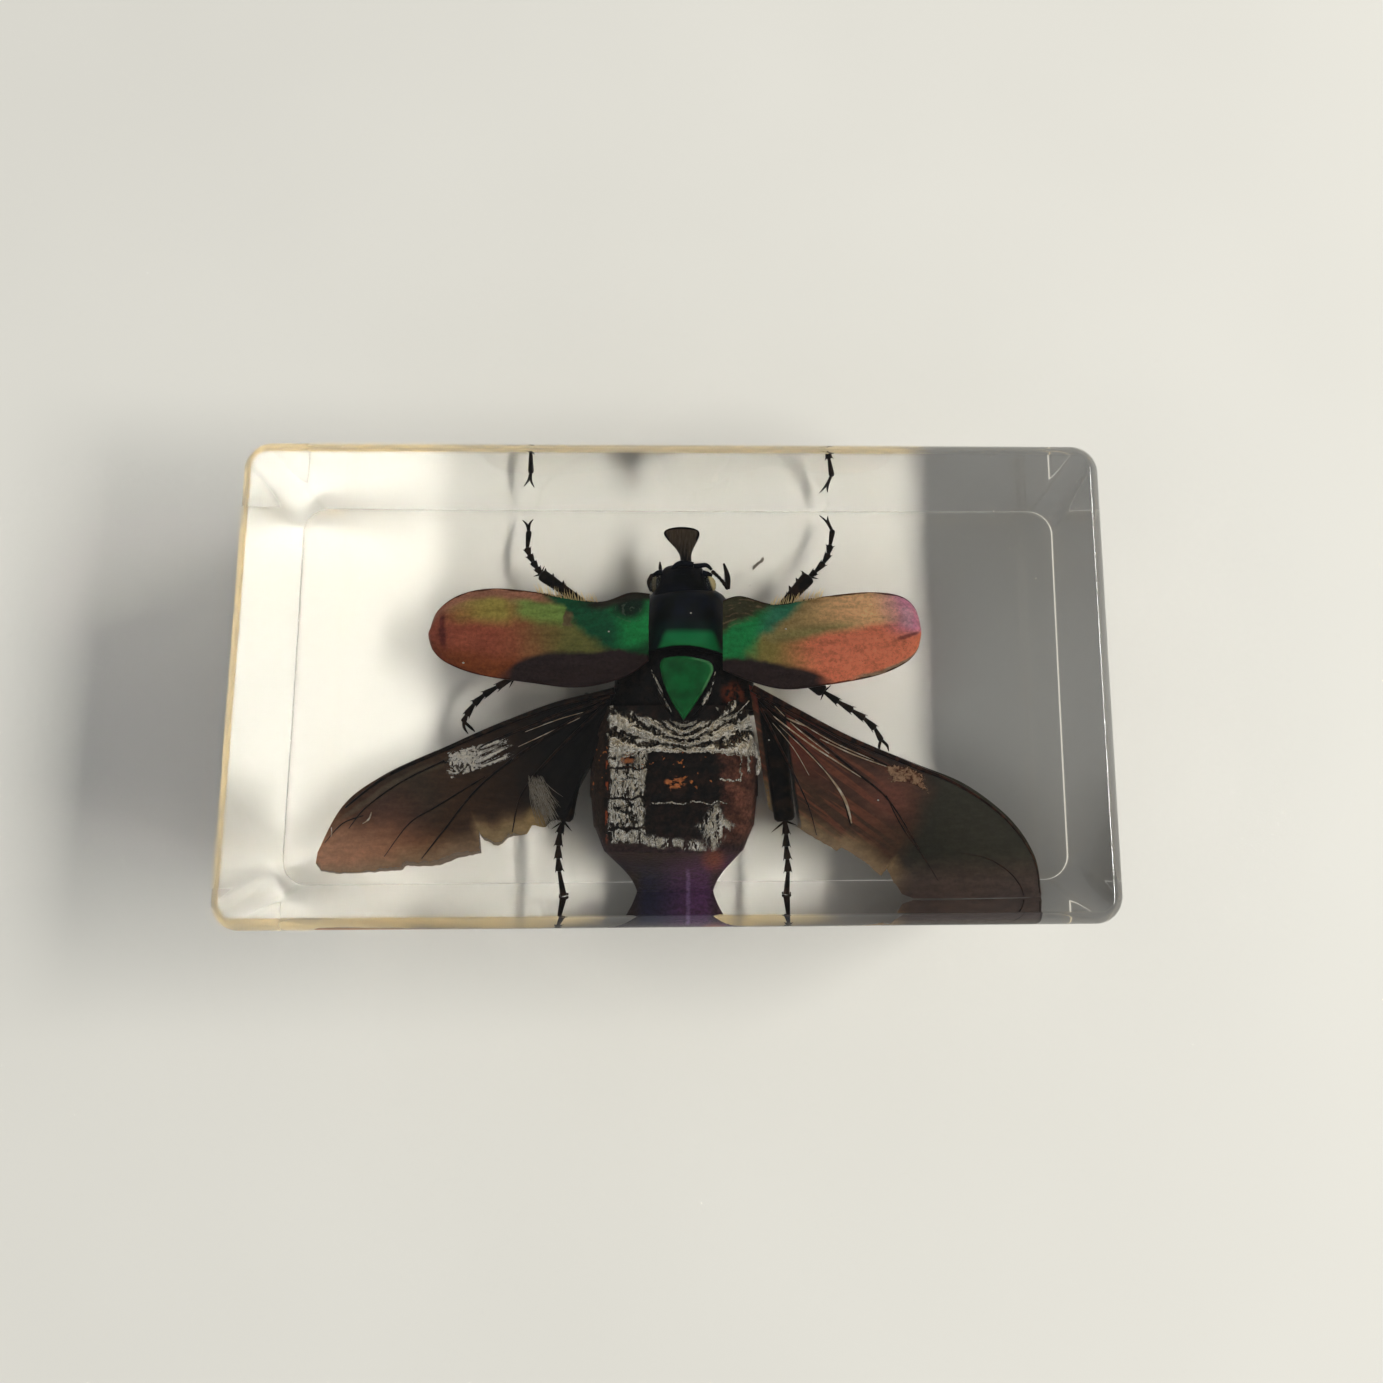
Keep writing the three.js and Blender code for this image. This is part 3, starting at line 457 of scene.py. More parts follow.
def elytron_right_shell():
    """Green and teal at the base, tan in front, coral red behind, violet at the tip and painted shadow along
    the rear edge near the base.
    """
    finish = Finish("elytron_right_shell")
    along, across = finish.wing_marks(0.08, 0.5, 4.0)
    rear = finish.mix(finish.zone(along, 0.2, 0.48), srgb(146, 134, 74), CORAL)
    front = finish.mix(finish.zone(along, 0.32, 0.66), srgb(166, 142, 94), TAN)
    strip = finish.zone(across, 0.26, 0.4) * finish.zone(along, 0.72, 0.5)
    front = finish.mix(strip * 0.8, front, srgb(146, 140, 88))
    finish.base = finish.mix(finish.zone(across + 0.12 * along, 0.44, 0.56), front, rear)
    finish.lay(finish.zone(along + 0.5 * across, 0.43, 0.35), TEAL)
    finish.lay(finish.zone(along + 0.1 * across, 0.26, 0.16), GREEN)
    x, y, _ = finish.axes()
    shoulder = finish.zone(across + 2.0 * along, 0.58, 0.42)
    finish.lay(shoulder * 0.92, UMBER)
    swirl = ((x - 5.4) ** 2.0 + 3.0 * (y - 4.6) ** 2.0) ** 0.5
    swirl = swirl + 1.1 * (finish.grain(1.0, 2.0) - 0.5)
    arcs = finish.zone((swirl * 8.0).wave(), 0.3, 0.95) * finish.zone(finish.grain(1.3, 2.0), 0.46, 0.58)
    finish.lay(arcs * shoulder * 0.4, srgb(146, 122, 96))
    # painted shadow near the rear edge, up to a curved boundary
    boundary = across - 3.0 * (along - 0.22) ** 2.0
    shadowed = finish.zone(boundary, 0.68, 0.76) * finish.zone(along, 0.56, 0.42)
    finish.lay(shadowed, PAINTED_SHADOW)
    # more painted shadow along the rear edge at the base
    finish.lay(finish.zone(across, 0.84, 0.92) * finish.zone(along, 0.2, 0.12), PAINTED_SHADOW)
    tip = finish.zone(along - 0.12 * across, 0.66, 0.84) * finish.zone(across, 0.66, 0.44)
    finish.lay(tip, VIOLET)
    pale = finish.zone(abs(along - 0.86), 0.05, 0.01) * finish.zone(abs(across - 0.3), 0.2, 0.1)
    finish.lay(pale * 0.35, srgb(220, 186, 190))
    fold_line = finish.zone(abs(across - 0.6 + 0.4 * (along - 0.86)), 0.05, 0.01)
    fold_line = fold_line * finish.zone(abs(along - 0.87), 0.1, 0.04)
    finish.lay(fold_line * 0.65, srgb(96, 44, 54))
    finish.lay(finish.zone(across, 0.025, 0.01) * 0.85, srgb(52, 30, 26))
    edge = finish.zone(across, 0.93, 0.965) * finish.zone(along, 0.55, 0.68)
    finish.lay(edge * 0.8, srgb(140, 140, 118))
    finish.lay(finish.zone(across, 0.98, 0.993) * 0.8, srgb(40, 28, 26))
    return punctured(finish)


def wing_surface(finish, opacity):
    """Smoky membrane: pleats, fine wrinkles and a dull silk gloss."""
    silk = finish.grain(1.3, 4.0, finish.stretched(0.6, 1.8, 1.0))
    fine = finish.grain(3.0, 3.0, roughness=0.7)
    tone = 0.9 + 0.2 * finish.zone(fine, 0.32, 0.68)
    tone = tone * (0.87 + 0.26 * finish.zone(silk, 0.35, 0.7))
    finish.set(
        Base_Color=finish.shade(finish.base, tone),
        Alpha=opacity,
        Roughness=0.4 + 0.25 * (silk - 0.5),
        Specular_IOR_Level=0.12,
    )
    finish.relief(silk + 0.4 * fine, 0.08, 0.7)
    return finish


def wing_left_membrane():
    """Black at the root, brown further out, and tan at the tip and the trailing edge."""
    finish = Finish("wing_left_membrane")
    along, across = finish.wing_marks(0.14, 0.2, 2.0)
    finish.base = finish.mix(finish.zone(along, 0.16, 0.6), srgb(17, 15, 14), srgb(82, 58, 40))
    grey = finish.spot((-23.6, -9.6), 3.0, 0.6)
    finish.lay(grey * 0.5, srgb(72, 66, 56))
    mauve = finish.spot((-25.2, -12.4), 2.8, 0.8)
    finish.lay(mauve * 0.75, srgb(112, 74, 60))
    tip = finish.zone(along + 0.3 * across, 0.8, 1.16)
    finish.lay(tip, srgb(226, 150, 100))
    trailing = finish.zone(across, 0.72, 1.0) * finish.zone(along, 0.26, 0.4)
    finish.lay(trailing * 0.9, srgb(178, 140, 98))
    flap = finish.zone(across, 0.8, 0.94) * finish.zone(along, 0.2, 0.3) * finish.zone(along, 0.56, 0.48)
    finish.lay(flap, srgb(188, 156, 104))
    # painted highlight: a pale streak near the leading edge
    gleam = finish.zone(abs(across - 0.13), 0.05, 0.01) * finish.zone(abs(along - 0.7), 0.24, 0.1)
    finish.lay(gleam * 0.35, srgb(136, 124, 100))
    thin = tip.at_least(trailing)
    hem = finish.zone(across, 0.93, 1.0)
    return wing_surface(finish, 0.97 - 0.28 * thin - 0.25 * hem)


def wing_right_membrane():
    """Red-brown and pleated at the root, grey-green beyond the fold, tan where it is torn."""
    finish = Finish("wing_right_membrane")
    x, y, _ = finish.axes()
    along, across = finish.wing_marks(0.12, 0.2, 2.0)
    finish.base = finish.mix(finish.zone(along, 0.05, 0.5), srgb(104, 58, 42), srgb(92, 62, 48))
    finish.lay(finish.zone(across, 0.42, 0.68), srgb(88, 62, 44))
    pleats = finish.grain(1.0, 3.0, finish.tilted(-0.62, 0.12, 2.6))
    pleated = finish.zone(pleats, 0.5, 0.62) * finish.zone(along, 0.56, 0.4)
    finish.lay(pleated * 0.7, srgb(148, 84, 60))
    front = finish.zone(across, 0.2, 0.06)
    finish.lay(front * 0.8, srgb(38, 26, 22))
    root = finish.zone(along, 0.3, 0.1) * finish.zone(across, 0.6, 0.3)
    finish.lay(root * 0.7, srgb(140, 62, 46))
    ruddy = finish.spot((18.6, -9.8), 1.9, 0.7)
    finish.lay(ruddy * 0.7, srgb(146, 88, 72))
    beyond = finish.zone(along - 0.06 * across, 0.49, 0.6)
    finish.lay(beyond, srgb(54, 54, 44))
    mauve = finish.zone(y, -14.6, -17.6) * finish.zone(along, 0.5, 0.62)
    finish.lay(mauve * 0.85, srgb(96, 78, 72))
    trailing = finish.zone(across, 0.8, 0.97) * finish.zone(along, 0.72, 0.56)
    trailing = trailing * finish.zone(along, 0.12, 0.2)
    finish.lay(trailing * 0.9, srgb(182, 146, 96))
    inner = finish.zone(across, 0.8, 1.0) * finish.zone(along, 0.3, 0.2)
    inner = inner * finish.zone(y, -7.6, -9.6)
    finish.lay(inner * 0.8, srgb(146, 122, 80))
    thin = trailing.at_least(inner)
    off_leg = abs(x + 0.13 * y - 8.05)
    beside = finish.zone(y, -12.6, -12.2) * finish.zone(y, -0.8, -1.4)
    finish.lay(finish.zone(off_leg, 1.3, 1.05) * beside, srgb(20, 17, 15))
    over_leg = finish.zone(off_leg, 1.0, 0.75) * beside
    return wing_surface(finish, (0.93 - 0.3 * thin) * (1 - 0.9 * over_leg))


def wing_veins(name, dark, light):
    """Horny veins, paler in patches of painted highlight."""
    finish = Finish(name, Specular_IOR_Level=0.15)
    beads = finish.grain(1.4, 2.0)
    finish.set(
        Base_Color=finish.mix(finish.zone(beads, 0.4, 0.7), dark, light),
        Roughness=0.32 + 0.2 * (finish.grain(6.0) - 0.5),
    )
    return finish


def abdomen_shell():
    """Dark plates, red-brown on the right, orange flecks and a violet tail, with painted shade along the
    tail's sides and a painted highlight down it.
    """
    finish = Finish("abdomen_shell", Specular_IOR_Level=0.15)
    x, y, _ = finish.axes()
    patches = finish.grain(0.9, 5.0, roughness=0.65)
    fine = finish.grain(3.0, 3.0, roughness=0.7)
    finish.base = finish.mix(finish.zone(patches, 0.35, 0.7), srgb(18, 15, 13), srgb(50, 35, 27))
    side = x + 1.5 * (patches - 0.5)
    ruddy = finish.mix(finish.zone(patches, 0.36, 0.7), srgb(84, 52, 42), srgb(142, 90, 74))
    right = finish.zone(side, 3.4, 4.6) * finish.zone(y, -4.0, -6.0) * finish.zone(side, 7.2, 6.6)
    finish.lay(right, ruddy)
    finish.lay(finish.zone(x, -6.2, -6.6), srgb(52, 38, 29))
    seam = finish.zone(abs(x + 6.05), 0.16, 0.05) * finish.zone(finish.grain(1.3), 0.5, 0.58)
    finish.lay(seam * finish.zone(y, -5.0, -6.5), srgb(168, 78, 42))
    flecks = finish.zone(finish.grain(1.5, 3.0, distortion=0.5), 0.63, 0.66)
    flecked = flecks * finish.zone(y, -9.6, -8.8) * finish.zone(y, -4.8, -5.6) * finish.zone(x, 4.0, 3.0)
    finish.lay(flecked, srgb(206, 124, 66))
    away = (0.3 * (x + 0.1) ** 2.0 + (y + 8.6) ** 2.0) ** 0.5
    amber = finish.zone(away, 0.6, 0.35).at_least(finish.spot((-4.3, -6.5), 0.6, 0.5))
    scraps = finish.zone(finish.grain(1.9, 3.0, finish.stretched(0.7, 1.2, 1.0)), 0.46, 0.5)
    finish.lay(amber * scraps, srgb(206, 126, 76))
    tail = finish.zone(y, -13.8, -16.8)
    violet = finish.mix(finish.zone(x, -2.6, 2.2), srgb(42, 40, 66), srgb(98, 58, 104))
    finish.lay(finish.zone(y, -12.6, -14.2), srgb(66, 48, 46))
    finish.lay(tail, violet)
    # painted shade on the sides of the tail, where it curves away
    rim = finish.zone(abs(x - ABDOMEN_MIDDLE), 2.6, 3.6) * finish.zone(y, -15.6, -16.8)
    finish.lay(rim * 0.7, srgb(54, 42, 34))
    glow = finish.spot((3.2, -15.3), 0.8, 0.9)
    finish.lay(glow * 0.6, srgb(172, 92, 60))
    # painted highlight: a pale violet line down the tail
    shine = finish.zone(abs(x - 0.9), 0.3, 0.05) * finish.zone(y, -15.8, -16.6)
    finish.lay(shine * 0.5, srgb(150, 120, 168))
    tone = (0.6 + 0.8 * finish.zone(fine, 0.3, 0.7)) * (1 - 0.6 * finish.zone(x, 6.3, 7.0))
    finish.set(Base_Color=finish.shade(finish.base, tone), Roughness=0.34 + 0.2 * (fine - 0.5))
    finish.relief(fine + 0.8 * patches, 0.08, 0.7)
    return finish


def thorax_shell():
    """Black, with rusty muscle showing beside the scutellum."""
    finish = Finish("thorax_shell", Specular_IOR_Level=0.1)
    soft = finish.grain(1.2, 4.0)
    rust = finish.spot((4.9, -0.9), 0.8, 0.8) * finish.zone(soft, 0.42, 0.6) * 0.8
    finish.base = finish.mix(finish.zone(soft, 0.4, 0.75), srgb(14, 13, 12), srgb(38, 30, 24))
    finish.lay(rust, srgb(158, 74, 42))
    finish.set(Base_Color=finish.base, Roughness=0.3 + 0.25 * (finish.grain(4.0) - 0.5))
    finish.relief(soft, 0.12, 0.7)
    return finish


def fold_turn(x, y):
    """Which turn of the film's folds a place lies in, for plain numbers and for Values."""
    slope = (y + FOLD_FOOT) / (((x - FILM_MIDDLE) ** 2.0 + FOLD_SPREAD) ** 0.5 + 0.5)
    return slope * FOLD_COUNT


def fan_folds(finish, creases):
    """Folds of the film that fan out from the collar's foot to its upper corners, from -1 to 1."""
    x, y, _ = finish.axes()
    drift = 9.0 * (creases - 0.5) + 5.0 * (finish.grain(0.45, 2.0) - 0.5)
    return (fold_turn(x, y) + drift).wave()


def air_film_silver(name, opacity):
    """Trapped air that shines like crumpled foil: long folds in its collar, scratches below, and painted
    light, shade and white glints in its colour.
    """
    finish = Finish(name, Specular_IOR_Level=0.5)
    _, y, _ = finish.axes()
    creases = finish.grain(1.0, 4.0, roughness=0.6, distortion=1.6)
    scratches = finish.grain(1.2, 4.0, finish.stretched(2.2, 0.8, 1.0), distortion=1.4)
    folds = fan_folds(finish, creases)
    collar = finish.zone(y, -6.2, -5.6)
    sheen = (0.47 + 0.1 * folds) * collar + scratches * (1 - collar)
    crumpled = finish.zone(0.7 * folds + 3.0 * (scratches - 0.5), -0.6, 0.4)
    # painted light and shade of the crumples, from dark grey to pale
    painted_light_and_shade = crumpled * collar + finish.zone(scratches, 0.4, 0.56) * (1 - collar)
    fine = finish.grain(3.2, 3.0, finish.stretched(1.6, 0.8, 1.0), roughness=0.7)
    finish.base = finish.mix(painted_light_and_shade, srgb(56, 51, 44), srgb(196, 191, 178))
    finish.base = finish.shade(finish.base, 0.55 + 0.9 * finish.zone(fine, 0.36, 0.64))
    # painted glints: white lines along the folds and scratches
    painted_glints = finish.zone(abs(sheen - 0.5), 0.048, 0.018)
    finish.lay(painted_glints, srgb(255, 253, 246))
    finish.set(
        Base_Color=finish.base,
        Metallic=0.9 - 0.3 * painted_glints,
        Roughness=0.24 + 0.3 * abs(creases - 0.4),
        Alpha=opacity(finish, creases, scratches),
    )
    finish.relief(sheen + 0.5 * creases, 0.4, 1.0)
    return finish


def back_film_opacity(finish, creases, scratches):
    """Where the film lies on the abdomen: a collar, cells on the left and scraps on the right."""
    x, y, _ = finish.axes()
    waver = 0.9 * (finish.grain(1.1, 3.0) - 0.5)
    x = x + waver
    y = y + waver
    sag = 0.05 * (x - FILM_MIDDLE) ** 2.0
    collar = finish.zone(y + 0.25 * sag, -6.05, -5.75) * finish.zone(y - 0.7 * sag, -3.2, -3.6)
    collar = collar * finish.zone(abs(x - 0.4), 6.5, 6.2)
    cells = finish.zone(x, -2.5, -2.8) * finish.zone(y, -13.9, -13.4) * finish.zone(y, -5.0, -5.6)
    gaps = [finish.zone(abs(y + middle), 0.05, 0.16) for middle in (7.35, 9.9, 12.5)]
    cells = cells * gaps[0] * gaps[1] * gaps[2] * finish.zone(x, -5.9, -5.6)
    orange_holes = finish.spot((-4.1, -6.5), 0.7, 0.6)
    scrap = finish.zone(abs(x - 3.3) + abs(y + 12.4) * 0.8, 1.9, 1.1)
    wisps = finish.zone(abs(y + 13.5 + 0.12 * (x + 2.0)), 0.55, 0.2) * finish.zone(abs(x + 1.6), 4.4, 3.9)
    rails = finish.zone(abs(x - 6.3), 0.12, 0.05) * finish.zone(y, -8.0, -7.4)
    frame_line = finish.zone(abs(x - 5.6), 0.1, 0.04) * finish.zone(abs(y + 7.0), 1.5, 1.4)
    box = finish.zone(abs(y + 8.35), 0.12, 0.05) * finish.zone(abs(x - 4.6), 1.1, 1.0)
    line = finish.zone(abs(y + 10.35), 0.08, 0.035) * finish.zone(abs(x - 1.2), 3.4, 3.1)
    torn = finish.zone(scratches, 0.44, 0.5)
    lines = rails.at_least(line).at_least(frame_line * 0.8).at_least(box)
    loose = (scrap.at_least(wisps) * torn).at_least(lines)
    front_hem = finish.zone(abs(y + 5.55 + 0.3 * sag), 0.07, 0.03)
    rear_hem = finish.zone(abs(y + 5.9 + 0.36 * sag), 0.07, 0.03)
    hems = front_hem.at_least(rear_hem) * finish.zone(abs(x - 0.4), 5.4, 4.9)
    open_folds = 0.35 * fan_folds(finish, creases) + 3.0 * (scratches - 0.5)
    whole = (collar * finish.zone(open_folds, -0.47, -0.33)).at_least(hems)
    whole = whole.at_least(cells * (1 - orange_holes) * finish.zone(creases, 0.39, 0.44))
    return whole.at_least(loose)


def ragged_opacity(finish, creases, scratches):
    """Film that is whole in its lumps and gone between its scratches."""
    edge = finish.mark("edge")
    return finish.zone(edge + 0.5 * (creases - 0.5), 0.1, 0.25) * finish.zone(scratches, 0.4, 0.5)


def eye_glass():
    """Dark eyes, with painted light on the outer side of the right one and a faint painted line of light on
    the left one.
    """
    finish = Finish("eye_glass", Specular_IOR_Level=0.6)
    x, y, _ = finish.axes()
    facets = finish.cells(7.0)
    # painted highlights: pale light on the right eye's outer side and a faint line on the left eye
    right_painted_highlight = finish.zone(x + 0.35 * (y - 9.2), 2.75, 3.0)
    left_painted_highlight = finish.zone(x, -1.95, -2.1) * finish.zone(x, -2.5, -2.3) * 0.15
    finish.base = finish.mix(right_painted_highlight + left_painted_highlight, srgb(24, 30, 26), srgb(220, 204, 150))
    finish.set(Base_Color=finish.base, Roughness=0.2 + 0.1 * facets)
    finish.relief(facets, 0.02, 0.6)
    return finish


def two_toned(name, grain, dark, light, roughness, gloss=0.1):
    """A plain finish for fibres and bubbles that are too small to show more."""
    finish = Finish(name, Specular_IOR_Level=gloss)
    tone = finish.grain(*grain)
    finish.set(Base_Color=finish.mix(tone, dark, light), Roughness=roughness + 0.1 * tone)
    return finish


def straw_hair():
    """Straw yellow, for the hairs of the elytra."""
    return two_toned("straw_hair", (1.5, 2.0), srgb(196, 166, 104), srgb(246, 228, 178), 0.5)


def bubble_skin():
    """Tiny bubbles that catch the light."""
    return two_toned("bubble_skin", (2.0, 2.0), srgb(190, 188, 180), srgb(246, 246, 240), 0.15, 0.8)


def dust_fibre():
    """Grey-brown, for torn strands and dust."""
    return two_toned("dust_fibre", (4.0, 3.0), srgb(96, 84, 70), srgb(190, 184, 172), 0.6)


# ---------------------------------------------------------------- shape helpers


def blend(from_values, to_values, share):
    """Numbers a share of the way between two lists of them."""
    return [a + (b - a) * share for a, b in zip(from_values, to_values)]


def shares(count):
    """`count` + 1 even steps from 0 to 1."""
    return [step / count for step in range(count + 1)]


def turns(count):
    """The angles of `count` even steps round a circle."""
    return [2 * math.pi * step / count for step in range(count)]


def soft_step(value, start, end):
    """0 before `start` and 1 after `end`, with a soft step between them."""
    share = min(max((value - start) / (end - start), 0.0), 1.0)
    return share * share * (3 - 2 * share)


def curve_at(points, share):
    """The point at a share of a smooth curve through others, by their order."""
    last = len(points) - 1
    position = share * last
    index = min(int(position), last - 1)
    weight = position - index
    before, start = points[max(index - 1, 0)], points[index]
    end, after = points[index + 1], points[min(index + 2, last)]
    found = []
    for p0, p1, p2, p3 in zip(before, start, end, after):
        v0, v1 = (p2 - p0) / 2, (p3 - p1) / 2
        cubic = (2 * p1 - 2 * p2 + v0 + v1) * weight**3
        square = (-3 * p1 + 3 * p2 - 2 * v0 - v1) * weight**2
        found.append(cubic + square + v0 * weight + p1)
    return found


def curve_through(points, count):
    """`count` + 1 evenly spaced points on a smooth curve through the given ones."""
    fine = [curve_at(points, share) for share in shares(len(points) * 16)]
    return evenly(fine, count)


def evenly(line, count):
    """`count` + 1 evenly spaced points along a line of points."""
    reached = [0.0]
    for start, end in zip(line, line[1:]):
        reached.append(reached[-1] + math.dist(start, end))
    spaced = []
    index = 0
    for share in shares(count):
        wanted = share * reached[-1]
        while index < len(line) - 2 and reached[index + 1] < wanted:
            index += 1
        span = reached[index + 1] - reached[index] or 1.0
        spaced.append(blend(line[index], line[index + 1], (wanted - reached[index]) / span))
    return spaced


def wrinkle(x, y, z=0.0, scale=1.0):
    """Smooth unevenness from -1 to 1 at a place."""
    return noise.noise(Vector((x, y, z)) * scale)


class Form:
    """The points, in millimetres, and the faces of one piece, gathered part by part."""

    def __init__(self):
        self.points = []
        self.faces = []
        self.marks = {}

    def add(self, points, faces, **marks):
        """More points and faces, and a number to each point for every mark."""
        first = len(self.points)
        self.points.extend(Vector(point) for point in points)
        self.faces.extend(tuple(first + index for index in face) for face in faces)
        for name, values in marks.items():
            self.marks.setdefault(name, []).extend(values)
        return self

    def loft(self, rings, **marks):
        """Rings of equal length joined in order, with a flat face at both ends."""
        size = len(rings[0])
        last = size * (len(rings) - 1)
        faces = [tuple(range(size - 1, -1, -1)), tuple(range(last, last + size))]
        for start in range(0, last, size):
            for i in range(size):
                j = (i + 1) % size
                faces.append((start + i, start + j, start + size + j, start + size + i))
        return self.add([point for ring in rings for point in ring], faces, **marks)

    def limb(self, path, sides=10, flat=1.0):
        """A tapering limb through points given as [x, y, z, radius]."""
        places = [Vector(point[:3]) for point in path]
        rings = []
        for index, place in enumerate(places):
            along = places[min(index + 1, len(places) - 1)] - places[max(index - 1, 0)]
            along.normalize()
            across = Vector((0, 0, 1)).cross(along)
            across = across.normalized() if across.length > 1e-4 else Vector((1, 0, 0))
            over = along.cross(across)
            radius = path[index][3]
            ring = []
            for turn in turns(sides):
                arm = across * math.cos(turn) + over * (math.sin(turn) * flat)
                ring.append(place + arm * radius)
            rings.append(ring)
        return self.loft(rings)

    def bristle(self, root, tip, radius, bend=0.0):
        """A stiff hair or spine that tapers to a point, arched upwards by `bend`."""
        middle = blend(root, tip, 0.55)
        middle[2] += bend
        path = [[*root, radius], [*middle, radius * 0.7], [*tip, radius * 0.12]]
        return self.limb(path, 5)

    def grid(self, rows, **marks):
        """An open sheet over rows of points."""
        size = len(rows[0])
        corners = [row * size + i for row in range(len(rows) - 1) for i in range(size - 1)]
        faces = [(a, a + 1, a + size + 1, a + size) for a in corners]
        return self.add([point for row in rows for point in row], faces, **marks)

    def pad(self, rows, thickness, **marks):
        """A closed sheet: the rows of points above, and the same a little lower below."""
        size, count = len(rows[0]), len(rows) * len(rows[0])
        top = [Vector(point) for row in rows for point in row]
        under = [point - Vector((0, 0, thickness)) for point in top]
        faces = []
        for row in range(len(rows) - 1):
            for i in range(size - 1):
                a = row * size + i
                faces.append((a, a + 1, a + size + 1, a + size))
                faces.append((count + a, count + a + size, count + a + size + 1, count + a + 1))
        rim = list(range(size))
        rim += [row * size + size - 1 for row in range(1, len(rows))]
        rim += list(range(count - 2, count - size - 1, -1))
        rim += [row * size for row in range(len(rows) - 2, 0, -1)]
        for a, b in zip(rim, rim[1:] + rim[:1]):
            faces.append((b, a, count + a, count + b))
        both = {name: list(values) * 2 for name, values in marks.items()}
        return self.add(top + under, faces, **both)


def put_in_scene(name, data):
    """A new object of the scene, from its mesh, lamp or lens."""
    thing = bpy.data.objects.new(name, data)
    SCENE.collection.objects.link(thing)
    return thing


def make(name, form, finish, replaces=(), sharp=60.0):
    """One piece of the scene from its form and its finish."""
    mesh = bpy.data.meshes.new(name)
    built = bmesh.new()
    corners = [built.verts.new(point * MM) for point in form.points]
    for face in form.faces:
        built.faces.new([corners[index] for index in face])
    bmesh.ops.recalc_face_normals(built, faces=built.faces)
    built.to_mesh(mesh)
    built.free()
    for mark, values in form.marks.items():
        mesh.attributes.new(mark, "FLOAT", "POINT").data.foreach_set("value", values)
    mesh.polygons.foreach_set("use_smooth", [True] * len(mesh.polygons))
    mesh.set_sharp_from_angle(angle=math.radians(sharp))
    mesh.materials.append(finish.material)
    piece = put_in_scene(name, mesh)
    piece.cycles.is_caustics_receiver = True
    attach(piece, "root")
    if replaces:
        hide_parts(*replaces)
    return piece


# ---------------------------------------------------------------- resin block


def block_ring(height, inset):
    """The block's outline at a height, pulled in by `inset`."""
    fall = max(0.0, 1 - height / (BLOCK_HEIGHT - TOP_EDGE_RADIUS))
    half_x = BLOCK_LENGTH / 2 - END_DRAFT * fall - inset
    half_y = BLOCK_DEPTH / 2 - SIDE_DRAFT * fall - inset
    radius = CORNER_RADIUS - inset
    ring = []
    for corner in range(4):
        centre_x = (1 if corner in (0, 3) else -1) * (half_x - radius)
        centre_y = (1 if corner < 2 else -1) * (half_y - radius)
        for share in shares(CORNER_STEPS):
            turn = (corner + share) * math.pi / 2
            x = centre_x + radius * math.cos(turn)
            ring.append((x, centre_y + radius * math.sin(turn), height))
    return ring


def softened_edge(size, fullness, share):
    """How far an edge pulls in, and how far it has turned up, at a share of its turn."""
    turn = share * math.pi / 2
    power = 2 / fullness
    return size * (1 - math.sin(turn) ** power), size * (1 - max(math.cos(turn), 0.0) ** power)


def resin_block():
    """The whole casting in one piece, with its caustics turned on."""
    rings = []
    for share in shares(BASE_EDGE_STEPS):
        inset, rise = softened_edge(BASE_EDGE_RADIUS, 2.0, share)
        rings.append(block_ring(rise, inset))
    rings.append(block_ring(BASE_EDGE_RADIUS + WALL_MARGIN, 0.0))
    rings.append(block_ring(BLOCK_HEIGHT - TOP_EDGE_RADIUS - WALL_MARGIN, 0.0))
    for share in reversed(shares(TOP_EDGE_STEPS)):
        inset, rise = softened_edge(TOP_EDGE_RADIUS, TOP_EDGE_FULLNESS, share)
        rings.append(block_ring(BLOCK_HEIGHT - rise, inset))
    form = Form().loft(rings)
    halves = ("resin_lower", "resin_upper")
    block = make("resin_block", form, clear_resin(), halves, sharp=40.0)
    for face in block.data.polygons:
        if len(face.vertices) > 4:
            face.use_smooth = False
    block.cycles.is_caustics_receiver = False
    block.cycles.is_caustics_caster = True
    return block


def front_wall(height):
    """Where the block's front face stands at a height."""
    return -(BLOCK_DEPTH / 2 - SIDE_DRAFT * (1 - height / (BLOCK_HEIGHT - TOP_EDGE_RADIUS)))


# ---------------------------------------------------------------- body


def oval(y, middle, half, top, bottom, widest=WIDEST_HEIGHT, fullness=BODY_FULLNESS):
    """A ring across the body. `fullness` under 1 squares it."""
    ring = []
    for turn in turns(BODY_SIDES):
        reach, rise = math.cos(turn), math.sin(turn)
        height = top - widest if rise > 0 else widest - bottom
        x = middle + half * math.copysign(abs(reach) ** fullness, reach)
        ring.append((x, y, widest + height * math.copysign(abs(rise) ** fullness, rise)))
    return ring


def body_rings(rows, middle, **shape):
    """Ovals along the body, smoothed between rows of [y, half width, top, bottom]."""
    rings = []
    for share in shares((len(rows) - 1) * RINGS_PER_ROW):
        y, half, top, bottom = curve_at(rows, share)
        rings.append(oval(y, middle, half, top, bottom, **shape))
    return rings


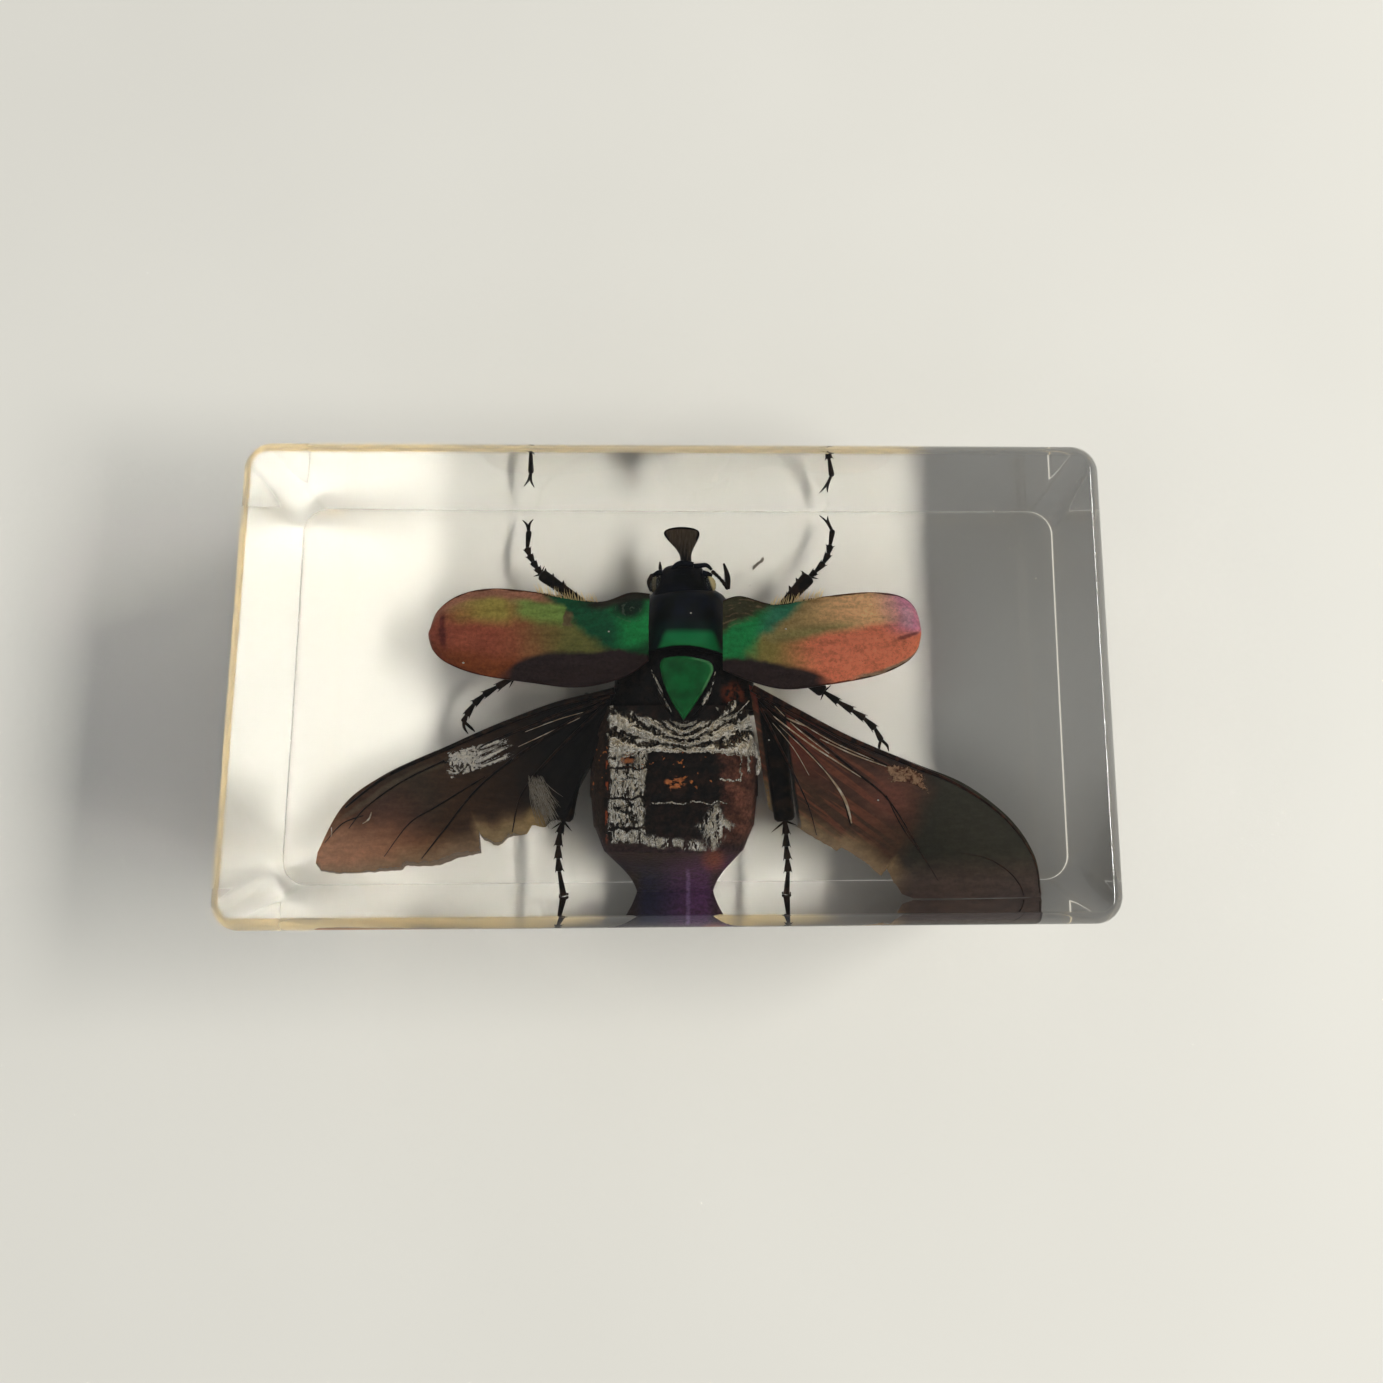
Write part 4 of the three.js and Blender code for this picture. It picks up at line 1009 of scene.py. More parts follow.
HEAD_ROWS = [
    [11.0, 1.3, 8.7, 7.4],
    [10.75, 1.75, 9.2, 6.9],
    [10.2, 2.05, 9.8, 6.2],
    [9.4, 2.3, 10.4, 5.4],
    [8.6, 2.7, 10.8, 5.1],
    [7.6, 3.0, 10.8, 5.2],
]
HEAD_PLATES = [
    [[-0.6, 10.5, 9.2, 0.2], [-0.1, 10.95, 9.3, 0.26], [0.6, 11.05, 9.3, 0.3], [1.3, 10.95, 9.2, 0.24]],
    [[1.3, 10.8, 9.0, 0.28], [1.9, 10.9, 8.9, 0.24], [2.5, 10.95, 8.8, 0.2], [2.95, 10.55, 8.7, 0.12]],
    [[2.1, 10.2, 9.0, 0.3], [2.6, 10.1, 8.9, 0.26], [3.0, 10.0, 8.8, 0.14]],
    [[-1.5, 10.3, 8.9, 0.26], [-1.95, 10.2, 8.8, 0.26], [-2.3, 10.1, 8.7, 0.12]],
]


def head():
    """A capsule with the small plates of the mouth along its front."""
    form = Form().loft(body_rings(HEAD_ROWS, HEAD_MIDDLE))
    for path in HEAD_PLATES:
        form.limb(curve_through(path, 14), 12, 0.8)
    return make("head_shell", form, head_shell(), ("head",))


HORN_OUTLINE = [
    [0.66, 0.62, 0.0],
    [0.64, 0.53, 0.6],
    [0.6, 0.5, 1.15],
    [0.54, 0.58, 1.65],
    [0.46, 0.84, 2.15],
    [0.36, 1.2, 2.65],
    [0.28, 1.5, 3.1],
    [0.24, 1.62, 3.42],
    [0.24, 1.52, 3.68],
    [0.24, 1.2, 3.86],
]  # each row: middle, half width, reach


def horn():
    """A stalk, oval in section, that opens into a dished fan with a thick rim."""
    lines = curve_through(HORN_OUTLINE, 34)
    rows = []
    marks = []
    for middle, half, reach in lines:
        opened = soft_step(half, 0.6, 1.45)
        row = []
        for share in shares(26):
            across = 2 * share - 1
            front = 0.2 * opened * (1 - across**2)
            thick = (0.5 * (1 - opened) + 0.12) * math.sqrt(max(1 - across**2, 0.0))
            dish = 0.18 * opened * across**2
            y = (reach + front) * math.cos(HORN_RISE)
            z = (reach + front) * math.sin(HORN_RISE) + thick + dish
            row.append((middle + half * across, HORN_ROOT[0] + y, HORN_ROOT[1] + z))
            marks.append(max(abs(across) ** 1.5, soft_step(reach, 3.2, 3.8)) * opened)
        rows.append(row)
    form = Form().pad(rows, HORN_THICKNESS, rim=marks)
    return make("horn", form, horn_chitin(), ())


def eye(name, side):
    """A domed eye, faceted by its finish."""
    rings = []
    for share in shares(14):
        turn = (share - 0.5) * math.pi
        radius = EYE_RADIUS * math.cos(turn) + 1e-3
        x = HEAD_MIDDLE + side * (2.35 + 0.66 * math.sin(turn))
        ring = []
        for angle in turns(24):
            y = EYE_CENTRE[0] + radius * math.cos(angle)
            ring.append((x, y, EYE_CENTRE[1] + radius * math.sin(angle)))
        rings.append(ring)
    return make(name, Form().loft(rings), eye_glass(), ())


ANTENNA_LEFT = {
    "stalk": [[-1.5, 10.3, 8.4, 0.16], [-2.1, 10.1, 8.5, 0.2], [-2.5, 9.9, 8.6, 0.24]],
    "club": [[-2.5, 10.1, 8.6, 0.14], [-2.62, 9.4, 8.7, 0.3], [-2.5, 8.6, 8.9, 0.16]],
    "leaf": [[-1.66, 10.2, 8.5, 0.14], [-1.72, 10.8, 8.6, 0.16], [-1.74, 11.3, 8.7, 0.05]],
}
ANTENNA_RIGHT = {
    "stalk": [[3.0, 10.5, 7.9, 0.17], [3.7, 9.8, 8.4, 0.13], [4.45, 8.8, 8.8, 0.18]],
    "club": [[4.5, 8.75, 8.8, 0.14], [4.4, 9.9, 8.9, 0.24], [4.05, 11.1, 9.0, 0.09]],
    "leaf": [[4.4, 8.9, 8.75, 0.14], [4.3, 9.9, 8.7, 0.16], [4.1, 10.8, 8.8, 0.06]],
}


def antenna(name, plan, finish):
    """An elbowed stalk of bead-like joints with a club of thin leaves."""
    form = Form()
    beads = curve_through(plan["stalk"], 24)
    for index, bead in enumerate(beads):
        bead[3] *= 1 + 0.25 * abs(math.sin(index * math.pi / 4))
    form.limb(beads, 10)
    form.limb(curve_through(plan["club"], 18), 10, 1.7)
    form.limb(curve_through(plan["leaf"], 18), 10, 0.8)
    return make(name, form, finish, (name,))


PRONOTUM_ROWS = [
    [8.95, 1.9, 9.2, 6.3],
    [8.8, 2.5, 9.9, 5.8],
    [8.5, 3.0, 10.5, 5.3],
    [8.2, 3.4, 11.0, 4.8],
    [7.4, 3.8, 11.5, 4.4],
    [5.6, 4.3, 12.0, 4.1],
    [4.2, 4.5, 12.0, 4.1],
    [3.4, 4.45, 11.75, 4.3],
    [3.2, 4.3, 11.4, 4.6],
]


def pronotum():
    """The shield behind the head: its rear edge bows backwards at the sides."""
    rings = body_rings(PRONOTUM_ROWS, PRONOTUM_MIDDLE, widest=7.4, fullness=0.94)
    bowed = []
    for ring in rings:
        row = []
        for x, y, z in ring:
            side = x - 1.0
            bow = -0.05 * side**2 - 0.09 * side
            row.append((x, y + bow * soft_step(y, 5.2, 3.4) * (z > 8), z))
        bowed.append(row)
    form = Form().loft(bowed)
    return make("pronotum_shell", form, pronotum_shell(), ("pronotum",))


THORAX_ROWS = [
    [3.2, 4.9, 10.0, 4.8],
    [2.8, 5.2, 10.4, 4.6],
    [1.6, 6.0, 10.6, 4.2],
    [-0.4, 6.3, 10.7, 4.1],
    [-1.6, 6.4, 10.5, 4.2],
    [-2.2, 6.2, 10.2, 4.4],
]


def thorax():
    """The middle of the body, a little uneven, with a seam down each side of the scutellum."""
    rings = body_rings(THORAX_ROWS, THORAX_MIDDLE, fullness=1.0)
    uneven = []
    for ring in rings:
        uneven.append([(x, y, z + 0.16 * wrinkle(x, y, z, 0.8)) for x, y, z in ring])
    form = Form().loft(uneven)
    for side in (-1, 1):
        seam = [[0.6 + side * 1.0, 2.2, 11.2, 0.1], [0.7 + side * 2.2, -0.2, 11.2, 0.22]]
        seam += [[0.6 + side * 1.7, -1.9, 11.1, 0.16], [0.6 + side * 0.4, -3.4, 10.9, 0.1]]
        form.limb(curve_through(seam, 18), 10, 0.7)
    return make("thorax_shell", form, thorax_shell(), ("thorax",))


SCUTELLUM_OUTLINE = [
    [-1.35, 2.25], [0.7, 2.45], [2.95, 1.95], [3.3, 1.2], [2.6, -0.3],
    [1.6, -1.9], [0.6, -3.3], [-0.4, -1.8], [-1.15, -0.2], [-1.6, 1.5],
]
SCUTELLUM_TIP = SCUTELLUM_OUTLINE[6]
SCUTELLUM_LEVELS = [
    (11.0, 0.93), (11.35, 0.99), (11.7, 1.0), (11.88, 0.975), (11.98, 0.93), (12.06, 0.84),
    (12.14, 0.7), (12.2, 0.5), (12.24, 0.25), (12.25, 0.06),
]  # each: height, share of the outline


def scutellum():
    """A pillowed triangle with its point towards the rear."""
    middle_x, middle_y = SCUTELLUM_CENTRE
    loop = SCUTELLUM_OUTLINE + SCUTELLUM_OUTLINE[:1]
    outline = []
    for start, end in zip(loop, loop[1:]):
        outline += [blend(start, end, share / 6) for share in range(6)]
    rounded = []
    for index, point in enumerate(outline):
        before, after = outline[index - 2], outline[(index + 2) % len(outline)]
        at_tip = math.dist(point, SCUTELLUM_TIP) < 0.5
        softened = [(a + 2 * p + b) / 4 for a, p, b in zip(before, point, after)]
        rounded.append(point if at_tip else softened)
    rings = []
    marks = []
    for height, scale in SCUTELLUM_LEVELS:
        ring = []
        for x, y in rounded:
            ring.append((middle_x + (x - middle_x) * scale, middle_y + (y - middle_y) * scale, height))
        rings.append(ring)
        marks += [scale if height > 11.6 else 1.0] * len(ring)
    form = Form().loft(rings, rim=marks)
    return make("scutellum_shell", form, scutellum_shell(), ("scutellum",))


ABDOMEN_PLATES = [
    [-1.9, 6.4, 10.9],
    [-4.6, 7.0, 11.2],
    [-7.2, 7.4, 11.4],
    [-9.9, 7.3, 11.3],
    [-12.5, 6.9, 11.1],
    [-14.6, 5.9, 10.5],
]  # each row: y, half width, top
TAIL_ROWS = [
    [-15.5, 5.1, 8.6, 4.2, 6.8],
    [-16.3, 4.4, 6.9, 4.0, 5.8],
    [-17.0, 3.9, 5.8, 3.8, 5.0],
    [-17.6, 3.6, 5.1, 3.7, 4.6],
    [-18.0, 3.45, 4.7, 3.7, 4.3],
    [-18.25, 3.4, 4.5, 3.8, 4.2],
]  # each row: y, half width, top, bottom, height of the widest place


def abdomen():
    """Overlapping plates, each a little proud of the next, and the tail that ends at the wall."""
    rings = []
    for index, (y, half, top) in enumerate(ABDOMEN_PLATES[:-1]):
        next_y, next_half, next_top = ABDOMEN_PLATES[index + 1]
        for share in (0.0, 0.06, 0.3, 0.6, 0.85, 0.94):
            swell = 0.1 * soft_step(share, 0.0, 0.9)
            row_y, row_half, row_top = blend([y, half, top], [next_y, next_half, next_top], share)
            belly = BELLY_HEIGHT - 0.1 * swell
            rings.append(oval(row_y, ABDOMEN_MIDDLE, row_half + swell, row_top + swell, belly))
    y, half, top = ABDOMEN_PLATES[-1]
    rings.append(oval(y, ABDOMEN_MIDDLE, half, top, TAIL_BELLY_HEIGHT))
    tail = [[y, half, top, TAIL_BELLY_HEIGHT, WIDEST_HEIGHT], *TAIL_ROWS]
    for share in shares(20)[1:]:
        y, half, top, bottom, widest = curve_at(tail, share)
        rings.append(oval(y, ABDOMEN_MIDDLE, half, top, bottom, widest))
    pressed = []
    for ring in rings:
        row = []
        for x, y, z in ring:
            limit = front_wall(z) + TAIL_GAP
            dent = 0.07 * wrinkle(x, y, z, 0.7)
            row.append((x, max(y, limit), z + dent))
        pressed.append(row)
    form = Form().loft(pressed)
    return make("abdomen_shell", form, abdomen_shell(), ("abdomen",), sharp=50.0)


def plates_at(y):
    """Half the width of the abdomen and the height of its back, at a place along it."""
    rows = ABDOMEN_PLATES
    y = min(max(y, rows[-1][0]), rows[0][0])
    index = next(i for i in range(len(rows) - 1) if y >= rows[i + 1][0])
    share = (rows[index][0] - y) / (rows[index][0] - rows[index + 1][0])
    return blend(rows[index][1:], rows[index + 1][1:], share)


def back_height(x, y):
    """Height of the abdomen's back over a place."""
    half, top = plates_at(y)
    reach = min(abs(x - ABDOMEN_MIDDLE) / (half + 0.2), 0.999)
    power = BODY_FULLNESS / 2
    over = (1 - reach ** (1 / power)) ** power
    return WIDEST_HEIGHT + (top + 0.2 - WIDEST_HEIGHT) * over


def back_film():
    """Air trapped over the abdomen: a crumpled skin just above the plates."""
    rows = []
    for v in shares(120):
        y = FILM_FRONT - FILM_LENGTH * v
        half, _ = plates_at(y)
        left = max(FILM_LEFT, ABDOMEN_MIDDLE - half)
        right = min(FILM_RIGHT, ABDOMEN_MIDDLE + half)
        row = []
        for u in shares(130):
            x = left + (right - left) * u
            crumple = 0.08 * wrinkle(x, y, 0.0, 2.2) + 0.05 * abs(wrinkle(x, y, 5.0, 4.6))
            fold = fold_turn(x, y) + 0.8 * wrinkle(x, y, 8.0, 0.8)
            crumple += 0.1 * math.sin(fold) * soft_step(y, -6.3, -5.4)
            level = max(back_height(x, y), 10.4 if y > -4 else 9.4)
            row.append((x, y, level + FILM_GAP + crumple))
        rows.append(row)
    form = Form().grid(rows)
    finish = air_film_silver("back_film", back_film_opacity)
    return make("back_film", form, finish, (), sharp=180.0)


SIDE_FILMS = [
    [[-2.3, 1.2, 11.2, 0.05], [-1.9, 0.3, 11.4, 0.13], [-1.5, -0.5, 11.4, 0.16], [-1.2, -1.2, 11.4, 0.06]],
    [[-1.1, -1.3, 11.4, 0.05], [-0.9, -1.8, 11.4, 0.1], [-0.5, -2.5, 11.3, 0.05]],
    [[3.35, 1.0, 11.5, 0.04], [3.2, 0.2, 11.4, 0.1], [3.0, -0.2, 11.4, 0.05]],
    [[3.0, -0.4, 11.4, 0.08], [2.6, -1.2, 11.4, 0.24], [2.2, -1.9, 11.4, 0.12]],
    [[3.7, -3.0, 11.1, 0.06], [4.4, -2.4, 11.3, 0.3], [4.8, -1.9, 11.2, 0.4], [5.1, -1.5, 11.0, 0.08]],
    [[3.2, -3.2, 11.1, 0.04], [3.9, -3.4, 11.2, 0.09], [5.4, -2.5, 11.1, 0.08], [6.3, -1.5, 10.9, 0.04]],
    [[3.4, -2.1, 11.2, 0.04], [3.7, -2.4, 11.3, 0.12], [3.9, -2.8, 11.2, 0.04]],
    [[6.9, -5.2, 10.2, 0.1], [7.05, -6.4, 10.1, 0.22], [7.1, -7.4, 10.0, 0.22], [7.0, -8.0, 10.0, 0.1]],
]


def side_films():
    """Slim beads of air beside the scutellum and along the right of the abdomen."""
    form = Form()
    for path in SIDE_FILMS:
        before = len(form.points)
        line = curve_through(path, 26)
        for index, place in enumerate(line):
            place[2] += 0.06 * wrinkle(place[0], place[1], index, 2.5)
        form.limb(line, 12, 0.45)
        form.marks.setdefault("edge", []).extend([1.0] * (len(form.points) - before))
    finish = air_film_silver("side_films", ragged_opacity)
    return make("side_films", form, finish, (), sharp=180.0)


# ---------------------------------------------------------------- elytra

ELYTRON_LEFT = {
    "front": [
        [-2.5, 8.0], [-4.3, 8.1], [-6.9, 7.3], [-10.4, 7.9],
        [-16.0, 8.6], [-19.3, 8.1], [-21.3, 6.7], [-22.0, 5.0],
    ],
    "rear": [
        [-2.5, 2.0], [-4.6, 0.6], [-8.6, -0.3], [-13.3, 0.2],
        [-17.6, 0.9], [-20.3, 1.9], [-21.6, 3.0], [-22.1, 4.2],
    ],
}
ELYTRON_RIGHT = {
    "front": [
        [4.0, 7.4], [5.6, 7.8], [8.6, 7.1], [12.0, 7.7],
        [17.0, 8.3], [19.9, 8.0], [21.3, 6.9], [21.8, 5.2],
    ],
    "rear": [
        [4.0, 1.2], [6.4, 0.2], [9.6, -0.5], [13.8, 0.0],
        [17.8, 0.8], [20.3, 1.9], [21.4, 3.0], [21.8, 4.3],
    ],
}


def hump(x, y, centre, radius):
    """1 at the centre, falling softly to 0 around it."""
    away = math.dist((x, y), centre) / radius
    return math.exp(-away * away)


def elytron_level(x, y, along, across, side):
    """The shell's arch, its shoulder and tip humps, its rim and two faint ribs."""
    rim = ELYTRON_BASE_HEIGHT + (ELYTRON_TIP_HEIGHT - ELYTRON_BASE_HEIGHT) * along
    arch = max(math.sin(math.pi * across), 0.0) ** 0.8 * math.sqrt(max(1 - 0.9 * along**5, 0.0))
    level = rim + ELYTRON_CROWN * arch
    shoulder = (side * 6.0 + (0.6 if side > 0 else 0.0), 6.1)
    level += 0.32 * hump(x, y, shoulder, 1.3) - 0.16 * hump(x, y, (shoulder[0] + side * 2.4, 6.6), 1.1)
    level += 0.22 * hump(x, y, (side * 20.2, 6.0), 1.2)
    edge = min(across, 1 - across)
    level += 0.1 * math.exp(-((edge / 0.03) ** 2))
    for rib in (0.36, 0.6):
        level += 0.05 * math.exp(-(((across - rib) / 0.03) ** 2)) * soft_step(along, 0.15, 0.3)
    return level


def elytron(name, edges, side, finish):
    """A wing case: an arched, closed sheet between its front and rear edges."""
    front = curve_through(edges["front"], ELYTRON_STEPS_ALONG)
    rear = curve_through(edges["rear"], ELYTRON_STEPS_ALONG)
    rows, along_marks, across_marks = [], [], []
    for index, (ahead, behind) in enumerate(zip(front, rear)):
        along = index / ELYTRON_STEPS_ALONG
        row = []
        for step in shares(ELYTRON_STEPS_ACROSS):
            across = 0.5 - 0.5 * math.cos(math.pi * step)
            x, y = blend(ahead, behind, across)
            row.append((x, y, elytron_level(x, y, along, across, side)))
            along_marks.append(along)
            across_marks.append(across)
        rows.append(row)
    form = Form().pad(rows, ELYTRON_THICKNESS, along=along_marks, across=across_marks)
    return make(name, form, finish, (name,), sharp=75.0)


FRINGES = [
    {"from": [-12.4, 8.3], "to": [-7.2, 7.4], "lean": -0.35},
    {"from": [8.2, 7.15], "to": [12.8, 7.85], "lean": 0.45},
]


def fringe():
    """Straw-coloured hairs along the front edges of the elytra."""
    chance = random.Random(7)
    form = Form()
    for row in FRINGES:
        for share in shares(FRINGE_HAIRS):
            x, y = blend(row["from"], row["to"], share)
            x += chance.uniform(-0.08, 0.08)
            y += 0.12 * math.sin(math.pi * share) * (-1 if row["lean"] < 0 else -0.6)
            height = FRINGE_HEIGHT + chance.uniform(-0.25, 0.1)
            reach = chance.uniform(0.35, 0.85)
            lean = row["lean"] + chance.uniform(-0.35, 0.35)
            tip = [x + reach * lean, y + reach, height + chance.uniform(-0.2, 0.3)]
            form.bristle([x, y - 0.15, height], tip, HAIR_RADIUS, 0.05)
    return make("elytra_fringe", form, straw_hair(), ())


# ---------------------------------------------------------------- hindwings

WING_LEFT = {
    "lead": [
        [-5.4, -0.3], [-10.4, -1.5], [-15.7, -3.4], [-20.7, -5.5], [-25.6, -7.8], [-29.0, -10.4],
        [-31.0, -14.4],
    ],
    "trail": [
        [-6.4, -2.6], [-6.7, -5.0], [-7.5, -7.1], [-8.7, -9.4], [-9.6, -11.6], [-11.0, -11.9],
        [-11.4, -12.4], [-12.6, -12.3], [-13.0, -13.0], [-14.6, -13.3], [-15.5, -14.1], [-16.8, -13.4],
        [-17.1, -12.9], [-16.9, -14.6], [-18.7, -15.0], [-20.5, -15.6], [-22.1, -15.7], [-23.3, -15.6],
        [-23.6, -16.0], [-25.1, -16.1], [-27.0, -16.2], [-29.2, -16.3], [-30.6, -16.0], [-31.1, -15.4],
    ],
}
WING_RIGHT = {
    "lead": [
        [6.3, 0.0], [9.9, -1.9], [14.9, -4.4], [20.8, -6.9], [25.4, -8.8], [29.3, -11.8],
        [31.4, -15.0], [31.9, -18.3],
    ],
    "trail": [
        [6.6, -1.8], [7.1, -5.0], [7.5, -8.0], [8.0, -10.9], [9.2, -11.9], [10.4, -12.5],
        [12.4, -13.7], [13.9, -14.6], [14.4, -14.3], [15.4, -14.9], [16.6, -15.7], [17.8, -16.8],
        [18.3, -16.1], [18.9, -17.3], [19.6, -18.3], [20.6, -18.66], [22.4, -18.67], [24.6, -18.67],
        [27.0, -18.67], [29.6, -18.67], [31.85, -18.67],
    ],
}
WING_LEFT_VEINS = [
    [[-5.6, -0.5, 0.32], [-10.6, -1.7, 0.28], [-15.8, -3.6, 0.26], [-20.4, -5.6, 0.2], [-25.3, -7.9, 0.14],
     [-28.8, -10.6, 0.08]],
    [[-6.0, -1.0, 0.2], [-11.0, -2.8, 0.17], [-16.4, -5.0, 0.14], [-20.4, -6.8, 0.1]],
    [[-20.4, -6.6, 0.1], [-24.0, -8.4, 0.08], [-27.0, -10.6, 0.06], [-28.4, -12.4, 0.03]],
    [[-6.3, -1.4, 0.17], [-12.0, -4.8, 0.13], [-17.0, -8.6, 0.1], [-20.2, -12.6, 0.08], [-22.0, -15.0, 0.04]],
    [[-6.5, -1.8, 0.15], [-11.0, -6.2, 0.11], [-13.6, -9.6, 0.08], [-14.3, -12.8, 0.04]],
    [[-16.8, -8.0, 0.08], [-21.0, -10.6, 0.07], [-23.2, -12.0, 0.05], [-25.2, -14.8, 0.03]],
    [[-27.2, -11.3, 0.04], [-29.0, -12.0, 0.05], [-30.4, -13.6, 0.03]],
]
WING_RIGHT_VEINS = [
    [[6.6, -0.3, 0.34], [10.2, -2.2, 0.3], [15.0, -4.7, 0.26], [20.6, -7.1, 0.22], [25.0, -9.0, 0.14],
     [29.0, -11.9, 0.1], [31.3, -15.2, 0.06], [31.75, -18.3, 0.04]],
    [[7.0, -0.9, 0.2], [11.0, -3.2, 0.17], [15.4, -5.6, 0.14], [18.6, -7.2, 0.1]],
    [[7.2, -1.3, 0.18], [11.6, -4.4, 0.14], [15.6, -7.6, 0.11], [18.6, -10.2, 0.08], [21.2, -14.4, 0.05]],
    [[7.2, -1.7, 0.16], [10.6, -5.0, 0.12], [13.2, -7.8, 0.1], [14.4, -9.6, 0.08], [15.2, -12.4, 0.05]],
    [[7.3, -2.0, 0.12], [9.4, -6.2, 0.09], [11.4, -10.4, 0.06], [12.2, -13.2, 0.03]],
    [[18.4, -9.8, 0.06], [19.8, -12.6, 0.06], [21.6, -15.2, 0.04], [22.8, -17.2, 0.03]],
    [[24.8, -14.8, 0.02], [27.2, -15.3, 0.04], [29.0, -16.4, 0.05], [30.0, -17.6, 0.06], [30.3, -18.5, 0.04]],
]
# pale ribs that paint the highlights along the wing veins
VEIN_HIGHLIGHT_RIBS = [
    [[9.3, -2.8, 0.05], [10.4, -3.3, 0.08], [11.4, -3.7, 0.04]],
    [[8.2, -2.6, 0.05], [11.6, -5.2, 0.07], [14.2, -6.9, 0.06], [16.2, -8.2, 0.03]],
    [[13.0, -7.6, 0.04], [14.2, -9.2, 0.1], [14.9, -10.6, 0.12], [15.3, -12.2, 0.05]],
    [[12.6, -4.8, 0.04], [15.6, -6.2, 0.06], [18.6, -7.3, 0.03]],
    [[8.6, -1.9, 0.03], [10.6, -3.9, 0.05], [13.4, -6.1, 0.03]],
    [[9.0, -3.6, 0.03], [11.4, -5.9, 0.05], [13.0, -7.6, 0.03]],
    [[10.4, -3.1, 0.03], [13.8, -5.1, 0.05], [17.4, -6.7, 0.03]],
    [[8.4, -3.4, 0.02], [10.2, -5.6, 0.03], [11.6, -8.0, 0.02]],
    [[-8.6, -2.9, 0.02], [-11.6, -4.3, 0.04], [-14.0, -5.4, 0.02]],
    [[-7.6, -2.2, 0.02], [-10.4, -3.0, 0.03], [-13.4, -4.1, 0.02]],
    [[-26.5, -11.0, 0.04], [-26.7, -11.6, 0.07], [-27.2, -12.0, 0.03]],
    [[-29.9, -12.3, 0.03], [-29.85, -12.8, 0.05], [-29.9, -13.1, 0.02]],
]


def wing_level(x, y):
    """The wing's slope, low waves and the pleats that fan out from its root."""
    reach = abs(x) / WING_REACH
    level = WING_ROOT_HEIGHT + (WING_TIP_HEIGHT - WING_ROOT_HEIGHT) * reach
    level += 0.15 * math.sin(3 * math.pi * reach)
    angle = math.atan2(-(y + 0.5), abs(x) - 5.0)
    fade = soft_step(abs(x), 5.0, 8.0) * soft_step(abs(x), 26.0, 15.0)
    level += 0.09 * math.sin(angle * 34) * fade
    return level + 0.08 * wrinkle(x, y, 3.0, 0.55)


def fold_level(x, y):
    """The crinkled joint where the right wing folds."""
    near = hump(x, y, (20.4, -8.2), 1.8)
    return near * (0.34 * abs(wrinkle(x, y, 9.0, 1.3)) + 0.1)


def trailing_edge(points):
    """A torn edge: straight between its points, with small ragged nicks."""
    line = []
    for start, end in zip(points, points[1:]):
        line += [blend(start, end, step / TORN_EDGE_STEPS) for step in range(TORN_EDGE_STEPS)]
    line.append(points[-1])
    ragged = []
    for x, y in line:
        nick = 0.16 * abs(wrinkle(x, y, 1.0, 1.7)) + 0.07 * wrinkle(x, y, 2.0, 5.0)
        ragged.append([x, y + nick * soft_step(abs(x), 9.0, 11.0) * soft_step(y, -18.6, -17.8)])
    return ragged


def hindwing(name, edges, finish):
    """An open membrane between its leading edge and its torn trailing edge."""
    trail = trailing_edge(edges["trail"])
    lead = curve_through(edges["lead"], len(trail) - 1)
    rows, along_marks, across_marks = [], [], []
    for index, (ahead, behind) in enumerate(zip(lead, trail)):
        row = []
        for across in shares(WING_STEPS_ACROSS):
            x, y = blend(ahead, behind, across)
            row.append((x, y, wing_level(x, y) + fold_level(x, y)))
            along_marks.append(index / (len(trail) - 1))
            across_marks.append(across)
        rows.append(row)
    form = Form().grid(rows, along=along_marks, across=across_marks)
    return make(name, form, finish, (name,), sharp=180.0)


def wing_ribs(name, paths, finish, lift=0.04):
    """Ribs that lie on a wing, along paths of [x, y, radius]."""
    form = Form()
    for path in paths:
        line = []
        for x, y, radius in curve_through(path, 40):
            line.append([x, y, wing_level(x, y) + fold_level(x, y) + lift, radius])
        form.limb(line, 8, 0.8)
    return make(name, form, finish, (), sharp=180.0)


def fold_flap():
    """The tan, crumpled scrap of membrane at the right wing's fold."""
    chance = random.Random(5)
    rows, marks = [], []
    for v in shares(26):
        row = []
        for u in shares(34):
            x = 18.2 + 3.9 * u + 0.3 * v
            y = -7.1 - 1.1 * u - 1.9 * v + 0.6 * math.sin(3.0 * u)
            lump = 0.34 * abs(wrinkle(x, y, 9.0, 1.3)) + 0.14 * abs(wrinkle(x, y, 4.0, 3.2))
            row.append((x + chance.uniform(-0.02, 0.02), y, wing_level(x, y) + 0.16 + lump))
            marks.append(min(u, 1 - u, v, 1 - v) * 4)
        rows.append(row)
    form = Form().grid(rows, edge=marks)
    finish = Finish("fold_flap", Specular_IOR_Level=0.1)
    creases = finish.grain(2.0, 4.0, distortion=0.8)
    tone = finish.mix(finish.zone(creases, 0.35, 0.65), srgb(96, 58, 42), srgb(206, 166, 132))
    opacity = finish.zone(finish.mark("edge") + 1.6 * (creases - 0.5), 0.25, 0.75)
    finish.set(Base_Color=tone, Alpha=opacity * 0.9, Roughness=0.3 + 0.2 * creases)
    finish.relief(creases, 0.2, 0.8)
    return make("fold_flap", form, finish, (), sharp=180.0)


WING_FILM_CORNERS = [[-20.6, -5.9], [-14.5, -4.3], [-14.1, -6.5], [-20.1, -8.3]]


